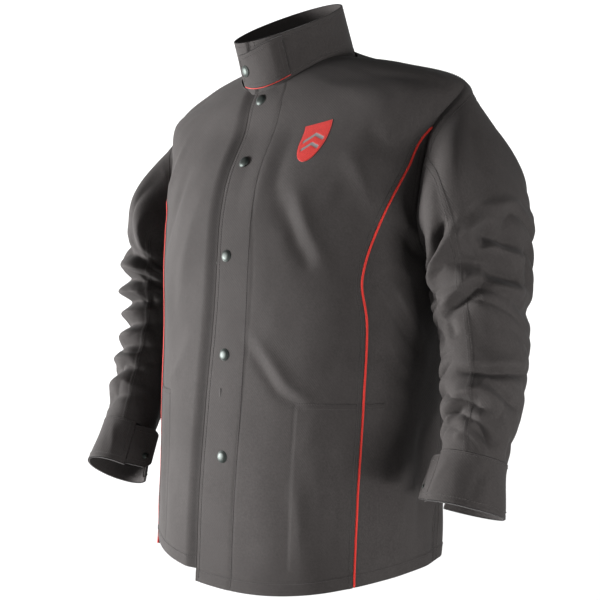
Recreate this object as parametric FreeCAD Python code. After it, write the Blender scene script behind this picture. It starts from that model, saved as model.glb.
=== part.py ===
"""Welding jacket: fabric body, stand-up collar, set-in sleeves, snaps and tabs.

Frame: +X is the wearer's left, -Y the front, +Z up.  The jacket is modelled as it is
worn, first with the front hem at about z = 0, and every solid is moved at the end so
that the origin is where a hook bears in the hanger loop.
"""
import FreeCAD, Part
import math
import os

os.makedirs("parts", exist_ok=True)

# ---- cloth and clearances (mm) ----
WALL = 1.6              # outer cloth, doubled at its seams
FACING = 1.0            # inner facings, linings and pocket bags
LAYER_GAP = 0.25        # between cloth layers that lie together
SNAP_GAP = 0.35         # between a snap's socket or cap and the curved cloth
BODY_GAP = 0.5          # half of the gap between cloth on different bodies
SEAM_GAP = 0.1          # half of the gap between panels sewn side by side
SAME_DIRECTION = 1      # both edges of a ruled face run the same way
PIPING_HALF = 1.3       # half width of the red cord in the front seams
PIPING_GAP = 0.4        # between the cord and each panel beside it
PIPING_PROUD = 2.2      # how far the cord stands out of the cloth

# ---- torso: share of the way up, height at front, side and back, half width,
#      depth to the front and back, middle line y, roundness of the ring ----
TORSO = [
    (0.00, -14, 15, 0, 217, 174, 150, -4, 2.30),
    (0.14, 110, 128, 120, 221, 175, 150, -2, 2.30),
    (0.28, 232, 240, 238, 225, 172, 149, 3, 2.30),
    (0.44, 345, 348, 348, 228, 169, 148, 8, 2.25),
    (0.56, 420, 415, 425, 230, 166, 147, 10, 2.20),
    (0.66, 480, 495, 495, 236, 160, 145, 12, 2.05),
    (0.76, 540, 572, 578, 246, 148, 134, 18, 1.98),
    (0.84, 592, 647, 650, 260, 128, 112, 25, 1.95),
    (0.92, 628, 685, 708, 170, 106, 92, 12, 1.95),
    (1.00, 655, 705, 742, 81, 84, 78, 0, 2.00),
]
T_ARMPIT = 0.56         # share of the way up where the armhole begins
T_SHOULDER = 0.84       # and where it ends, at the shoulder point
TORSO_TOP = 0.996       # share of the way up where the panels meet the collar

# armhole edge on the torso: share of the way up, angle in front, angle behind
ARMHOLE = [
    (0.56, 90, 90),
    (0.58, 82, 107),
    (0.62, 75.5, 119),
    (0.68, 74, 126),
    (0.74, 73.5, 123),
    (0.80, 76, 111),
    (0.84, 90, 90),
]

# the worn jacket is drawn in on its right side: share of the way up, distance
DRAWN_IN = [(0.00, 0), (0.08, 5), (0.20, 12), (0.30, 12), (0.40, 8), (0.55, 1), (0.70, 0), (1.00, 0)]

# ---- sleeves: centre, direction of the arm, half width, half depth ----
LEFT_ARM = [
    ((274, 20, 496), (0.86, 0.00, -0.51), 74, 100),
    ((289, 14, 442), (0.64, -0.02, -0.77), 69, 90),
    ((295, 6, 387), (0.29, -0.08, -0.95), 60, 77),
    ((305, -4, 335), (0.18, -0.16, -0.97), 55, 66),
    ((316, -20, 285), (0.10, -0.24, -0.95), 51, 57),
    ((323, -38, 238), (0.04, -0.32, -0.94), 47, 52),
    ((326, -60, 180), (0.00, -0.36, -0.94), 38, 43),
    ((327, -84, 122), (0.00, -0.36, -0.94), 46, 50),
]
RIGHT_ARM = [
    ((268, 14, 496), (0.90, 0.00, -0.44), 70, 98),
    ((283, 10, 439), (0.65, -0.06, -0.76), 63, 88),
    ((291, 0, 379), (0.20, -0.16, -0.97), 55, 76),
    ((285, -16, 325), (0.00, -0.30, -0.95), 48, 64),
    ((279, -42, 272), (-0.06, -0.42, -0.90), 46, 56),
    ((273, -70, 218), (-0.12, -0.50, -0.86), 44, 50),
    ((265, -100, 160), (-0.12, -0.54, -0.84), 38, 42),
    ((257, -132, 100), (-0.12, -0.54, -0.84), 44, 48),
]
ARMS = {1: LEFT_ARM, -1: RIGHT_ARM}
ELBOW = 4               # ring where the forearm starts
CUFF = 7                # ring where the cuff starts
ARM_END = 8             # last ring, the cuff's edge
SEAM_FRONT = {1: 72, -1: 118}   # sleeve seam at the front, degrees round the arm
SEAM_BACK = 258         # sleeve seam at the back
CUFF_PROUD = 0.8        # the cuff is folded over the sleeve's end

# ---- collar ----
COLLAR_TOP_X = 77       # half width of the top edge
COLLAR_TOP_Y = 78       # half depth of the top edge
COLLAR_LEAN = -25       # the top edge is this far forward of the base
COLLAR_TOP_Z = 759      # height of the top edge at the sides
COLLAR_TOP_RISE = 40    # more at the back and less at the front
COLLAR_LEFT_EDGE = -2
COLLAR_RIGHT_EDGE = 6
COLLAR_UNDERLAP = 3.5   # the right end is tucked in by this much

# ---- front opening: the left front lies over the right one ----
LEFT_EDGE = [(0.00, -34), (0.28, -22), (0.50, -14), (0.76, -16), (1.00, -9)]
RIGHT_EDGE = 17         # the right front ends this far on the wearer's left
UNDERLAP = 6.0          # the right front is this far inside the left one
UNDERLAP_BLEND = 26     # width over which it moves in
FACING_WIDTH = 56
RIGHT_HEM_RISE = 0.016  # the right front is a little shorter, as a share of the height

# ---- fold line of the opened fronts: a straight axis outside the cloth ----
FOLD_TOP = (80, -110, 735)
FOLD_FOOT = (140, -202, -14)
FOLD_INWARD = (-0.5, 0.87, 0.0)

# ---- princess seams with red cord: share of the way up, angle from the front ----
PRINCESS = {
    1: [(0.00, 55.5), (0.30, 55.8), (0.43, 55.3), (0.52, 52.6), (0.56, 53.6), (0.63, 58.2),
        (0.72, 66.3), (0.77, 70.5), (0.785, 73.8)],
    -1: [(0.00, 48.0), (0.30, 47.5), (0.43, 48.0), (0.52, 48.5), (0.56, 49.0), (0.63, 51.0),
         (0.72, 60.0), (0.77, 69.0), (0.785, 73.8)],
}
SIDE_SEAM = [(0.00, 100), (0.38, 100), (0.56, 90)]     # it ends at the armpit

# ---- snaps ----
SNAP_X = [14, 9, 4, 7, 6]
SNAP_Z = [160, 294, 425, 552, 640]
CAP_R = 8.2
CAP_HEIGHT = 3.0
POST_R = 1.6
HOLE_R = 1.75
SOCKET_R = 5.4
SOCKET_HEIGHT = 1.8
SOCKET_BORE = 2.4
STUD_PLATE_R = 4.8
STUD_PLATE = 0.45
STUD_R = 2.0
STUD_HEIGHT = 1.9
RIVET_R = 4.4
RIVET_HEIGHT = 0.7

# ---- tabs ----
TAB_CLOTH = 1.8
TAB_LIFT = 2.8          # room under a tab for its snap
COLLAR_TAB_SEWN = 34    # angle of the sewn edge on the collar
COLLAR_TAB_END = -23    # angle of the free end
COLLAR_SNAP = -13
WAIST_TAB_SEWN = 104
WAIST_TAB_END = 131
WAIST_SNAP = 126
WAIST_TAB_LOW = 212
WAIST_TAB_HIGH = 262
CUFF_TAB_HINGE = 150    # degrees round the arm
CUFF_TAB_LENGTH = 38
CUFF_TAB_FLARE = 20     # degrees that the unsnapped tab stands off
CUFF_OVERLAP_END = 206
CUFF_CAP = 216

# ---- emblem on the left chest ----
EMBLEM_ANGLE = 25.5
EMBLEM_Z = 572
EMBLEM_HALF_HEIGHT = 26
EMBLEM_HALF_WIDTH = 20

# ---- hanger loop ----
LOOP_HALF_WIDTH = 24
LOOP_RISE = 17
LOOP_STRAP = 4.5
LOOP_CLOTH = 1.4
LOOP_BASE = (0, 70.3, 740.0)
LOOP_LEAN = 24          # degrees, along the collar's inside


# ================= curves and surfaces =================

def through(stations, where):
    """Smooth curve through rows (position, value, value...), as a list of values."""
    last = len(stations) - 1
    where = min(max(where, stations[0][0]), stations[last][0])
    low = 0
    while low < last - 1 and where > stations[low + 1][0]:
        low += 1
    first, second = stations[low], stations[low + 1]
    step = second[0] - first[0]
    x = (where - first[0]) / step
    values = []
    for column in range(1, len(first)):
        slope = (second[column] - first[column]) / step
        slope_in = slope_out = slope
        if low > 0:
            before = stations[low - 1]
            step_before = first[0] - before[0]
            slope_before = (first[column] - before[column]) / step_before
            slope_in = (slope_before * step + slope * step_before) / (step + step_before)
        if low < last - 1:
            after = stations[low + 2]
            step_after = after[0] - second[0]
            slope_after = (after[column] - second[column]) / step_after
            slope_out = (slope * step_after + slope_after * step) / (step + step_after)
        values.append(first[column] * (1 + 2 * x) * (1 - x) ** 2
                      + slope_in * step * x * (1 - x) ** 2
                      + second[column] * x * x * (3 - 2 * x)
                      + slope_out * step * x * x * (x - 1))
    return values


def ease(x):
    """0 below 0, 1 above 1, smooth between."""
    x = min(max(x, 0.0), 1.0)
    return x * x * (3 - 2 * x)


def vector(point):
    return FreeCAD.Vector(*point)


def power(value, exponent):
    return math.copysign(abs(value) ** exponent, value)


def torso(angle, t):
    """Point of the torso: angle in degrees from the front, + to the wearer's left."""
    z_front, z_side, z_back, width, front, back, middle, round_ = through(TORSO, t)
    s = math.sin(math.radians(angle))
    c = math.cos(math.radians(angle))
    depth = front if c > 0 else back
    z_end = z_front if c > 0 else z_back
    if s < 0:
        width -= through(DRAWN_IN, t)[0]
    return FreeCAD.Vector(width * power(s, 2 / round_),
                          middle - depth * power(c, 2 / round_),
                          z_side + (z_end - z_side) * c * c)


def collar(angle, h):
    """Point of the collar: h from 0 at the neck seam to 1 at the top edge."""
    a = math.radians(angle)
    base = torso(angle, 1.0)
    top = FreeCAD.Vector(COLLAR_TOP_X * math.sin(a),
                         COLLAR_LEAN - COLLAR_TOP_Y * math.cos(a),
                         COLLAR_TOP_Z - COLLAR_TOP_RISE * math.cos(a))
    return base + (top - base) * h


def armhole_angle(t, behind):
    return through(ARMHOLE, t)[1 if behind else 0]


def armhole(side, phi):
    """Point of the armhole edge: 0 at the shoulder, 90 in front, 180 at the armpit."""
    phi = phi % 360
    behind = phi > 180
    share = (360 - phi if behind else phi) / 180
    t = T_SHOULDER + (T_ARMPIT - T_SHOULDER) * (1 - math.cos(math.pi * share)) / 2
    point = torso(armhole_angle(t, behind), t)
    return FreeCAD.Vector(side * point.x, point.y, point.z)


def arm_ring(side, index):
    """Centre, outward and forward directions and half sizes of one ring of the arm."""
    centre, along, width, depth = ARMS[side][index - 1]
    along = vector(along).normalize()
    outward = FreeCAD.Vector(1, 0, 0)
    outward = (outward - along * outward.dot(along)).normalize()
    forward = along.cross(outward).normalize()
    if forward.y > 0:
        forward = forward * -1
    mirror = FreeCAD.Vector(side, 1, 1)
    sized = [FreeCAD.Vector(v.x * mirror.x, v.y, v.z) for v in (vector(centre), outward, forward)]
    return sized[0], sized[1], sized[2], width, depth


RINGS_AT = {}


def arm_curve(side, phi):
    """The arm's rings at one angle, as stations for through()."""
    key = (side, round(phi, 4))
    if key not in RINGS_AT:
        start = armhole(side, phi)
        rows = [(0, start.x, start.y, start.z)]
        for index in range(1, ARM_END + 1):
            centre, outward, forward, width, depth = arm_ring(side, index)
            a = math.radians(phi)
            point = centre + outward * (width * math.cos(a)) + forward * (depth * math.sin(a))
            rows.append((index, point.x, point.y, point.z))
        RINGS_AT[key] = rows
    return RINGS_AT[key]


def arm(side):
    """Surface of one sleeve: degrees round the arm, rings down the arm."""
    def point(phi, s):
        return FreeCAD.Vector(*through(arm_curve(side, phi), s))
    return point


def outward_normal(surface, u, v, sign=1, rings=False):
    """Unit normal by differences, which stay inside 0 to 1 in v unless v counts rings."""
    du = surface(u + 0.2, v) - surface(u - 0.2, v)
    low = max(v - 0.002, 0.0)
    if not rings:
        low = min(low, 0.996)
    dv = surface(u, low + 0.004) - surface(u, low)
    return du.cross(dv).normalize() * sign


# ================= solids =================

def as_value(value, *at):
    return value(*at) if callable(value) else value


def cloth(surface, u_limits, stretches, outer, inner, sign=1, across=8, along=(12,)):
    """A piece of cloth between two offsets of a surface.

    stretches are the values of v where the piece starts, turns a corner, and ends, and
    along the number of rows in each, closer together at the corners.  u_limits are
    numbers or functions of v, and the offsets numbers or functions of u, v.
    """
    levels = [stretches[0]]
    for start, end, rows in zip(stretches, stretches[1:], along):
        for j in range(1, rows + 1):
            share = j / rows
            if len(along) > 1:
                share = (1 - math.cos(math.pi * share)) / 2
            levels.append(start + (end - start) * share)
    outside = []
    inside = []
    for v in levels:
        first = as_value(u_limits[0], v)
        last = as_value(u_limits[1], v)
        row_out = []
        row_in = []
        for i in range(across + 1):
            u = first + (last - first) * i / across
            point = surface(u, v)
            normal = outward_normal(surface, u, v, sign, stretches[-1] > 1)
            row_out.append(point + normal * as_value(outer, u, v))
            row_in.append(point + normal * as_value(inner, u, v))
        outside.append(row_out)
        inside.append(row_in)
    return skin(outside, inside)


def skin(outside, inside):
    """Solid between an outer and an inner grid of points."""
    faces = []
    borders = []
    for grid in (outside, inside):
        sheet = Part.BSplineSurface()
        sheet.interpolate(grid)
        faces.append(sheet.toShape())
        u1, u2, v1, v2 = sheet.bounds()
        borders.append([sheet.uIso(u1), sheet.uIso(u2), sheet.vIso(v1), sheet.vIso(v2)])
    for first, second in zip(borders[0], borders[1]):
        faces.append(Part.makeRuledSurface(first.toShape(), second.toShape(), SAME_DIRECTION))
    sewn = Part.Compound(faces)
    sewn.sewShape()
    solid = Part.makeSolid(sewn.Shells[0])
    if solid.Volume < 0:
        solid.reverse()
    return solid


def turned(profile, point, axis):
    """Solid of revolution from (radius, height) corners, stood on a point along an axis."""
    corners = [FreeCAD.Vector(r, 0, h) for r, h in profile]
    wire = Part.makePolygon(corners + corners[:1])
    solid = Part.Face(wire).revolve(FreeCAD.Vector(), FreeCAD.Vector(0, 0, 1), 360)
    turn = FreeCAD.Rotation(FreeCAD.Vector(0, 0, 1), axis)
    solid.Placement = FreeCAD.Placement(point, turn)
    return solid


def snap_cap(point, axis, depth):
    """Domed cap whose post goes depth into the cloth."""
    dome = [(CAP_R * math.sin(math.radians(a)), CAP_HEIGHT * math.cos(math.radians(a)))
            for a in range(90, -1, -15)]
    profile = [(0, -depth), (POST_R, -depth), (POST_R, SNAP_GAP), (CAP_R, SNAP_GAP)]
    profile += [(r, h + SNAP_GAP) for r, h in dome[1:-1]] + [(0, CAP_HEIGHT + SNAP_GAP)]
    return turned(profile, point, axis)


def snap_socket(point, axis, top):
    """Ring under the cloth that takes the stud; top is its height along the axis."""
    low = top - SOCKET_HEIGHT
    return turned([(SOCKET_BORE, low), (SOCKET_R, low), (SOCKET_R, top), (SOCKET_BORE, top)],
                  point, axis)


def snap_stud(point, axis, face, cloth_depth):
    """Stud that stands on the cloth, with its rivet through it and a plate behind."""
    behind = face - cloth_depth
    profile = [(0, behind - RIVET_HEIGHT), (RIVET_R, behind - RIVET_HEIGHT), (RIVET_R, behind),
               (POST_R, behind), (POST_R, face), (STUD_PLATE_R, face),
               (STUD_PLATE_R, face + STUD_PLATE), (STUD_R, face + STUD_PLATE),
               (STUD_R, face + STUD_PLATE + STUD_HEIGHT), (0, face + STUD_PLATE + STUD_HEIGHT)]
    return turned(profile, point, axis)


def post_hole(point, axis, radius=HOLE_R):
    return Part.makeCylinder(radius, 24, point - axis * 12, axis)


def pierced(solid, holes):
    for hole in holes:
        solid = solid.cut(hole)
    return solid


NODES = {}


def keep(name, *solids):
    """Keep one node: one solid, or a group of like solids."""
    NODES[name] = solids[0] if len(solids) == 1 else Part.Compound(list(solids))


# ================= lines on the torso =================

def solve(function, low, high):
    """Where an increasing or decreasing function crosses 0."""
    sign = 1 if function(high) > function(low) else -1
    for _ in range(40):
        middle = (low + high) / 2
        if sign * function(middle) > 0:
            high = middle
        else:
            low = middle
    return (low + high) / 2


def angle_at_x(surface, v, x):
    """Front angle where the surface is at a given x."""
    return solve(lambda a: surface(a, v).x - x, -80, 80)


FOLD_ALONG = (vector(FOLD_TOP) - vector(FOLD_FOOT)).normalize()
FOLD_NORMAL = FOLD_ALONG.cross(vector(FOLD_INWARD)).normalize()
FOLD_SIGN = 1 if FOLD_NORMAL.x > 0 else -1


def fold_angle(surface, v, distance):
    """Angle of the fold line on the wearer's left, moved by a distance from its plane."""
    def away(a):
        return (surface(a, v) - vector(FOLD_TOP)).dot(FOLD_NORMAL) * FOLD_SIGN - distance
    return solve(away, 2, 80)


def princess_angle(side, t):
    """Angle of the princess seam, which ends on the armhole."""
    return through(PRINCESS[side], t)[0]


T_PRINCESS_END = PRINCESS[1][-1][0]


def mm_to_degrees(surface, angle, v, distance):
    """Change of angle that moves a point by a distance round the body."""
    return distance / (surface(angle + 0.5, v) - surface(angle - 0.5, v)).Length


def torso_normal(angle, t):
    return outward_normal(torso, angle, t)


def height_to_share(angle, z):
    return solve(lambda t: torso(angle, t).z - z, 0, 1)


# ================= torso panels =================

def underlap(angle, v, surface=torso, edge=None, amount=UNDERLAP, blend=UNDERLAP_BLEND):
    """How far the right front is tucked under the left one at a point."""
    over = through(LEFT_EDGE, v)[0] if edge is None else edge
    return -amount * ease((surface(angle, v).x - (over - blend)) / (blend - 4))


def front_edge(side):
    """Angle of the front edge for each side, as a function of the share."""
    def left(t):
        return angle_at_x(torso, t, through(LEFT_EDGE, t)[0])

    def right(t):
        return angle_at_x(torso, t, RIGHT_EDGE * (1 - 0.3 * t))
    return left if side > 0 else right


def front_offset(side, depth):
    """Offset of the front flap's cloth, for cloth(): the right one is tucked in."""
    if side > 0:
        return lambda a, t: -depth
    return lambda a, t: underlap(a, t) - depth


def snap_places():
    """Points on the torso for the placket snaps, with their directions."""
    places = []
    for x, z in zip(SNAP_X, SNAP_Z):
        t = height_to_share(0, z)
        angle = angle_at_x(torso, t, x)
        places.append((torso(angle, t), torso_normal(angle, t)))
    return places


def front_flaps():
    """The two halves of the front that open, with their facings and snaps."""
    places = snap_places()
    holes = [post_hole(point, axis) for point, axis in places]
    for side, name in ((1, "left"), (-1, "right")):
        hem = 0.0 if side > 0 else RIGHT_HEM_RISE
        edge = front_edge(side)

        def fold(t):
            return side * fold_angle(torso, t, -BODY_GAP)

        def facing_end(t):
            start = edge(t)
            wanted = side * mm_to_degrees(torso, start, t, FACING_WIDTH)
            limit = fold(t) - side * mm_to_degrees(torso, start, t, 3)
            return min(start + wanted, limit) if side > 0 else max(start + wanted, limit)

        u_limits = (edge, fold) if side > 0 else (fold, edge)
        facing_limits = (edge, facing_end) if side > 0 else (facing_end, edge)
        flap = cloth(torso, u_limits, (hem, TORSO_TOP), front_offset(side, 0),
                     front_offset(side, WALL), across=14 if side > 0 else 28, along=(34,))
        start = WALL + LAYER_GAP
        facing = cloth(torso, facing_limits, (hem + 0.012, TORSO_TOP),
                       front_offset(side, start), front_offset(side, start + FACING),
                       across=8 if side > 0 else 16, along=(34,))
        keep(name + "_front_flap", pierced(flap, holes))
        keep(name + "_front_facing", pierced(facing, holes))
    stack = WALL + LAYER_GAP + FACING
    keep("placket_snap_caps", *[snap_cap(p, n, stack + 0.3) for p, n in places])
    keep("placket_snap_sockets", *[snap_socket(p, n, -stack - SNAP_GAP) for p, n in places])
    keep("placket_snap_studs",
         *[snap_stud(p, n, 0.1 - UNDERLAP, stack + 0.3) for p, n in places])


def armhole_line(t, behind=False):
    """Edge of a torso panel at the armhole, and at the shoulder seam above it."""
    if t > T_SHOULDER:
        angle = 90.0
        gap = SEAM_GAP
    else:
        angle = armhole_angle(t, behind)
        gap = BODY_GAP
    shift = mm_to_degrees(torso, angle, t, gap + SEAM_GAP)
    return angle + shift if behind else angle - shift


def side_seam(t):
    return through(SIDE_SEAM, t)[0]


def fixed_front(side, name):
    """Front panel from the fold line to the princess seam, the armhole and the shoulder."""
    def fold(t):
        return side * fold_angle(torso, t, BODY_GAP)

    def outer_edge(t):
        if t > T_PRINCESS_END:
            return side * armhole_line(t)
        angle = princess_angle(side, t)
        return side * (angle - mm_to_degrees(torso, angle, t, PIPING_HALF + PIPING_GAP))

    limits = (fold, outer_edge) if side > 0 else (outer_edge, fold)
    stretches = (0.0, T_PRINCESS_END, T_SHOULDER, TORSO_TOP)
    keep(name + "_front_panel", cloth(torso, limits, stretches, 0, -WALL,
                                      across=12, along=(42, 12, 14)))


def side_panel(side, name):
    """Side panel between the princess seam and the side seam, up to the armhole."""
    def seam(t):
        angle = princess_angle(side, t)
        return side * (angle + mm_to_degrees(torso, angle, t, PIPING_HALF + PIPING_GAP))

    def back_edge(t):
        if t > T_ARMPIT:
            return side * armhole_line(t)
        return side * (side_seam(t) - ease((T_ARMPIT - t) / 0.02) * 0.05
                       - (1 - ease((T_ARMPIT - t) / 0.02)) * (90 - armhole_line(T_ARMPIT)))

    limits = (seam, back_edge) if side > 0 else (back_edge, seam)
    stretches = (0.0, T_ARMPIT, T_ARMPIT + 0.03, T_PRINCESS_END - 0.014)
    keep(name + "_side_panel", cloth(torso, limits, stretches, 0, -WALL,
                                     across=12, along=(26, 10, 14)))


def piping(side, name):
    """Red cord sewn into the princess seam."""
    def low(t):
        angle = princess_angle(side, t)
        return side * (angle - side * mm_to_degrees(torso, angle, t, PIPING_HALF))

    def high(t):
        angle = princess_angle(side, t)
        return side * (angle + side * mm_to_degrees(torso, angle, t, PIPING_HALF))

    keep(name + "_front_piping",
         cloth(torso, (low, high), (0.0, T_PRINCESS_END - 0.014), PIPING_PROUD, -WALL,
               across=3, along=(44,)))


def back_panel():
    """Back, from side seam to side seam, and up over the shoulder blades."""
    def left_edge(t):
        if t > T_ARMPIT:
            return armhole_line(t, True)
        near = 1 - ease((T_ARMPIT - t) / 0.02)
        return side_seam(t) + 0.05 + near * (armhole_line(T_ARMPIT, True) - 90.05)

    def right_edge(t):
        return 360 - left_edge(t)

    stretches = (0.0, T_ARMPIT, T_ARMPIT + 0.03, T_SHOULDER, TORSO_TOP)
    keep("back_panel", cloth(torso, (left_edge, right_edge), stretches, 0, -WALL,
                             across=28, along=(26, 10, 16, 14)))


def inner_pocket(side, name):
    """Patch pocket inside the front, open at the top, with room for a hand."""
    first, last = 29.0, 66.0
    low = height_to_share(45, 24)
    high = height_to_share(45, 238)

    def bulge(a, t):
        across = math.sin(math.pi * (abs(a) - first) / (last - first))
        up = math.sin(math.pi / 2 * (t - low) / (high - low))
        return max(across, 0.0) ** 0.7 * max(up, 0.0) ** 0.7

    def outer(a, t):
        return -WALL - LAYER_GAP - 14 * bulge(a, t)

    def inner(a, t):
        return outer(a, t) - FACING

    limits = (first, last) if side > 0 else (-last, -first)
    keep(name + "_inner_pocket",
         cloth(torso, limits, (low, high), outer, inner, across=12, along=(14,)))


# ================= collar =================

def collar_parts():
    """Collar: the part round the neck and the two ends that open with the fronts."""
    def back_low(h):
        return fold_angle(collar, h, BODY_GAP)

    def back_high(h):
        return 360 - back_low(h)

    keep("collar", cloth(collar, (back_low, back_high), (0.004, 1.0), 0, -WALL,
                         across=40, along=(6,)))
    start = WALL + LAYER_GAP
    keep("collar_lining", cloth(collar, (back_low, back_high), (0.02, 0.98), -start,
                                -start - FACING, across=40, along=(6,)))

    def left_edge(h):
        return angle_at_x(collar, h, COLLAR_LEFT_EDGE)

    def left_fold(h):
        return fold_angle(collar, h, -BODY_GAP)

    def right_fold(h):
        return -left_fold(h)

    def right_edge(h):
        return angle_at_x(collar, h, COLLAR_RIGHT_EDGE)

    def tucked(depth):
        return lambda a, h: underlap(a, h, collar, COLLAR_LEFT_EDGE, COLLAR_UNDERLAP, 12) - depth

    stack = start + FACING
    point, axis = collar_snap_place()
    hole = post_hole(point, axis)
    keep("collar_left_end", cloth(collar, (left_edge, left_fold), (0.004, 1.0), 0, -stack,
                                  across=10, along=(6,)))
    keep("collar_right_end",
         pierced(cloth(collar, (right_fold, right_edge), (0.004, 1.0), tucked(0),
                       tucked(stack), across=24, along=(6,)), [hole]))
    keep("collar_snap_stud", snap_stud(point, axis, 0.1, stack + 0.3))


def collar_snap_place():
    return collar(COLLAR_SNAP, 0.42), outward_normal(collar, COLLAR_SNAP, 0.42)


def collar_tab():
    """Tab sewn to the left collar end and snapped to the right one."""
    def lift(a, h):
        return 0.5 + (TAB_LIFT - 0.5) * ease((COLLAR_TAB_SEWN - a) / 14)

    def lifted(a, h):
        return lift(a, h) + TAB_CLOTH

    def tab_surface(a, v):
        taper = 0.95 - 0.20 * ease((COLLAR_TAB_SEWN - a) / (COLLAR_TAB_SEWN - COLLAR_TAB_END))
        return collar(a, 0.07 + (taper - 0.07) * v)

    point, axis = collar_snap_place()
    hole = post_hole(point, axis)
    limits = (COLLAR_TAB_END, COLLAR_TAB_SEWN)
    tab = cloth(tab_surface, limits, (0.0, 1.0), lifted, lift, across=14, along=(6,))
    keep("collar_tab", pierced(tab, [hole]))

    def edge_surface(a, v):
        return collar(a, 0.045 + 0.022 * v)

    keep("collar_tab_piping",
         cloth(edge_surface, limits, (0.0, 1.0), lambda a, h: lift(a, h) + 1.4,
               lambda a, h: lift(a, h) + 0.2, across=14, along=(3,)))
    face = TAB_LIFT + TAB_CLOTH
    top = point + axis * face
    keep("collar_snap_cap", snap_cap(top, axis, TAB_CLOTH + 0.2))
    keep("collar_snap_socket", snap_socket(point, axis, TAB_LIFT - SNAP_GAP))


# ================= sleeves =================

def sleeve_parts(side, name):
    """Upper sleeve, forearm and cuff of one side."""
    surface = arm(side)
    sections = [
        ("sleeve", 0.02, ELBOW - 0.012, 18),
        ("forearm", ELBOW + 0.012, CUFF - 0.003, 14),
    ]
    for section, start, end, rows in sections:
        front = SEAM_FRONT[side]
        halves = (("top", SEAM_BACK - 360, front), ("under", front, SEAM_BACK))
        for half, first, last in halves:
            keep("%s_%s_%s" % (name, section, half),
                 cloth(surface, (first + 0.1, last - 0.1), (start, end), 0, -WALL, side,
                       across=18, along=(rows,)))
    keep(name + "_cuff",
         pierced(cloth(surface, (CUFF_OVERLAP_END, CUFF_TAB_HINGE + 360),
                       (CUFF + 0.003, ARM_END), CUFF_PROUD, CUFF_PROUD - 2 * WALL, side,
                       across=30, along=(6,)), [cuff_hole(side)]))
    cuff_tab(side, name)


def cuff_place(side, phi, s):
    surface = arm(side)
    return surface(phi, s), outward_normal(surface, phi, s, side, True)


def cuff_hole(side):
    point, axis = cuff_place(side, CUFF_CAP, CUFF + 0.5)
    return post_hole(point, axis)


def cuff_tab_frame(side):
    """Corner, direction along the hinge, direction to the free end, and face normal."""
    near, normal = cuff_place(side, CUFF_TAB_HINGE, CUFF + 0.06)
    far = cuff_place(side, CUFF_TAB_HINGE, ARM_END - 0.04)[0]
    along = (far - near).normalize()
    surface = arm(side)
    round_ = surface(CUFF_TAB_HINGE + 1, CUFF + 0.5) - surface(CUFF_TAB_HINGE - 1, CUFF + 0.5)
    round_ = (round_ - along * round_.dot(along)).normalize()
    normal = round_.cross(along).normalize()
    if normal.dot(outward_normal(surface, CUFF_TAB_HINGE, CUFF + 0.5, side, True)) < 0:
        normal = normal * -1
    flare = math.radians(CUFF_TAB_FLARE)
    reach = round_ * math.cos(flare) + normal * math.sin(flare)
    face = normal * math.cos(flare) - round_ * math.sin(flare)
    return near, (far - near).Length, along, reach, face, round_


def cuff_tab(side, name):
    """Free end of the cuff, unsnapped and standing off a little."""
    near, height, along, reach, face, round_ = cuff_tab_frame(side)
    start = near + round_ * 1.6
    clip = 9
    corners = [start, start + reach * (CUFF_TAB_LENGTH - clip),
               start + reach * CUFF_TAB_LENGTH + along * clip,
               start + reach * CUFF_TAB_LENGTH + along * (height - clip),
               start + reach * (CUFF_TAB_LENGTH - clip) + along * height,
               start + along * height]
    outline = Part.Face(Part.makePolygon(corners + corners[:1]))
    tab = outline.extrude(face * -2.4)
    stud_at = start + reach * (CUFF_TAB_LENGTH - 11) + along * (height * 0.72)
    tab = pierced(tab, [post_hole(stud_at, face)])
    keep(name + "_cuff_tab", tab)
    keep(name + "_cuff_snap_stud", snap_stud(stud_at, face, 0.1, 2.6))
    point, axis = cuff_place(side, CUFF_CAP, CUFF + 0.5)
    keep(name + "_cuff_snap_cap", snap_cap(point + axis * CUFF_PROUD, axis, 2 * WALL + 0.2))
    keep(name + "_cuff_snap_socket", snap_socket(point, axis, CUFF_PROUD - 2 * WALL - 2 * SNAP_GAP))


# ================= waist tabs =================

def waist_tab(side, name):
    """Tab at the side seam that snaps on the back to draw in the waist."""
    low = height_to_share(WAIST_TAB_SEWN, WAIST_TAB_LOW)
    high = height_to_share(WAIST_TAB_SEWN, WAIST_TAB_HIGH)
    middle = (low + high) / 2

    def lift(a, v):
        return 0.5 + (TAB_LIFT - 0.5) * ease((abs(a) - WAIST_TAB_SEWN) / 12)

    def lifted(a, v):
        return lift(a, v) + TAB_CLOTH

    def tab_surface(a, v):
        narrow = 0.12 * ease((abs(a) - WAIST_TAB_SEWN - 16) / 11)
        share = narrow + (1 - 2 * narrow) * v
        return torso(a, low + (high - low) * share)

    limits = (WAIST_TAB_SEWN, WAIST_TAB_END) if side > 0 else (-WAIST_TAB_END, -WAIST_TAB_SEWN)
    point = torso(side * WAIST_SNAP, middle)
    axis = torso_normal(side * WAIST_SNAP, middle)
    tab = cloth(tab_surface, limits, (0.0, 1.0), lifted, lift, across=14, along=(6,))
    keep(name + "_waist_tab", pierced(tab, [post_hole(point, axis)]))
    keep(name + "_waist_snap_cap",
         snap_cap(point + axis * (TAB_LIFT + TAB_CLOTH), axis, TAB_CLOTH + 0.2))
    keep(name + "_waist_snap_socket", snap_socket(point, axis, TAB_LIFT - SNAP_GAP))
    return snap_stud(point, axis, 0.1, WALL + 0.3), post_hole(point, axis)


def waist_tabs():
    studs = []
    for side, name in ((1, "left"), (-1, "right")):
        stud, hole = waist_tab(side, name)
        studs.append(stud)
        keep("back_panel", NODES["back_panel"].cut(hole))
    keep("waist_snap_studs", *studs)


# ================= trim =================

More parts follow.
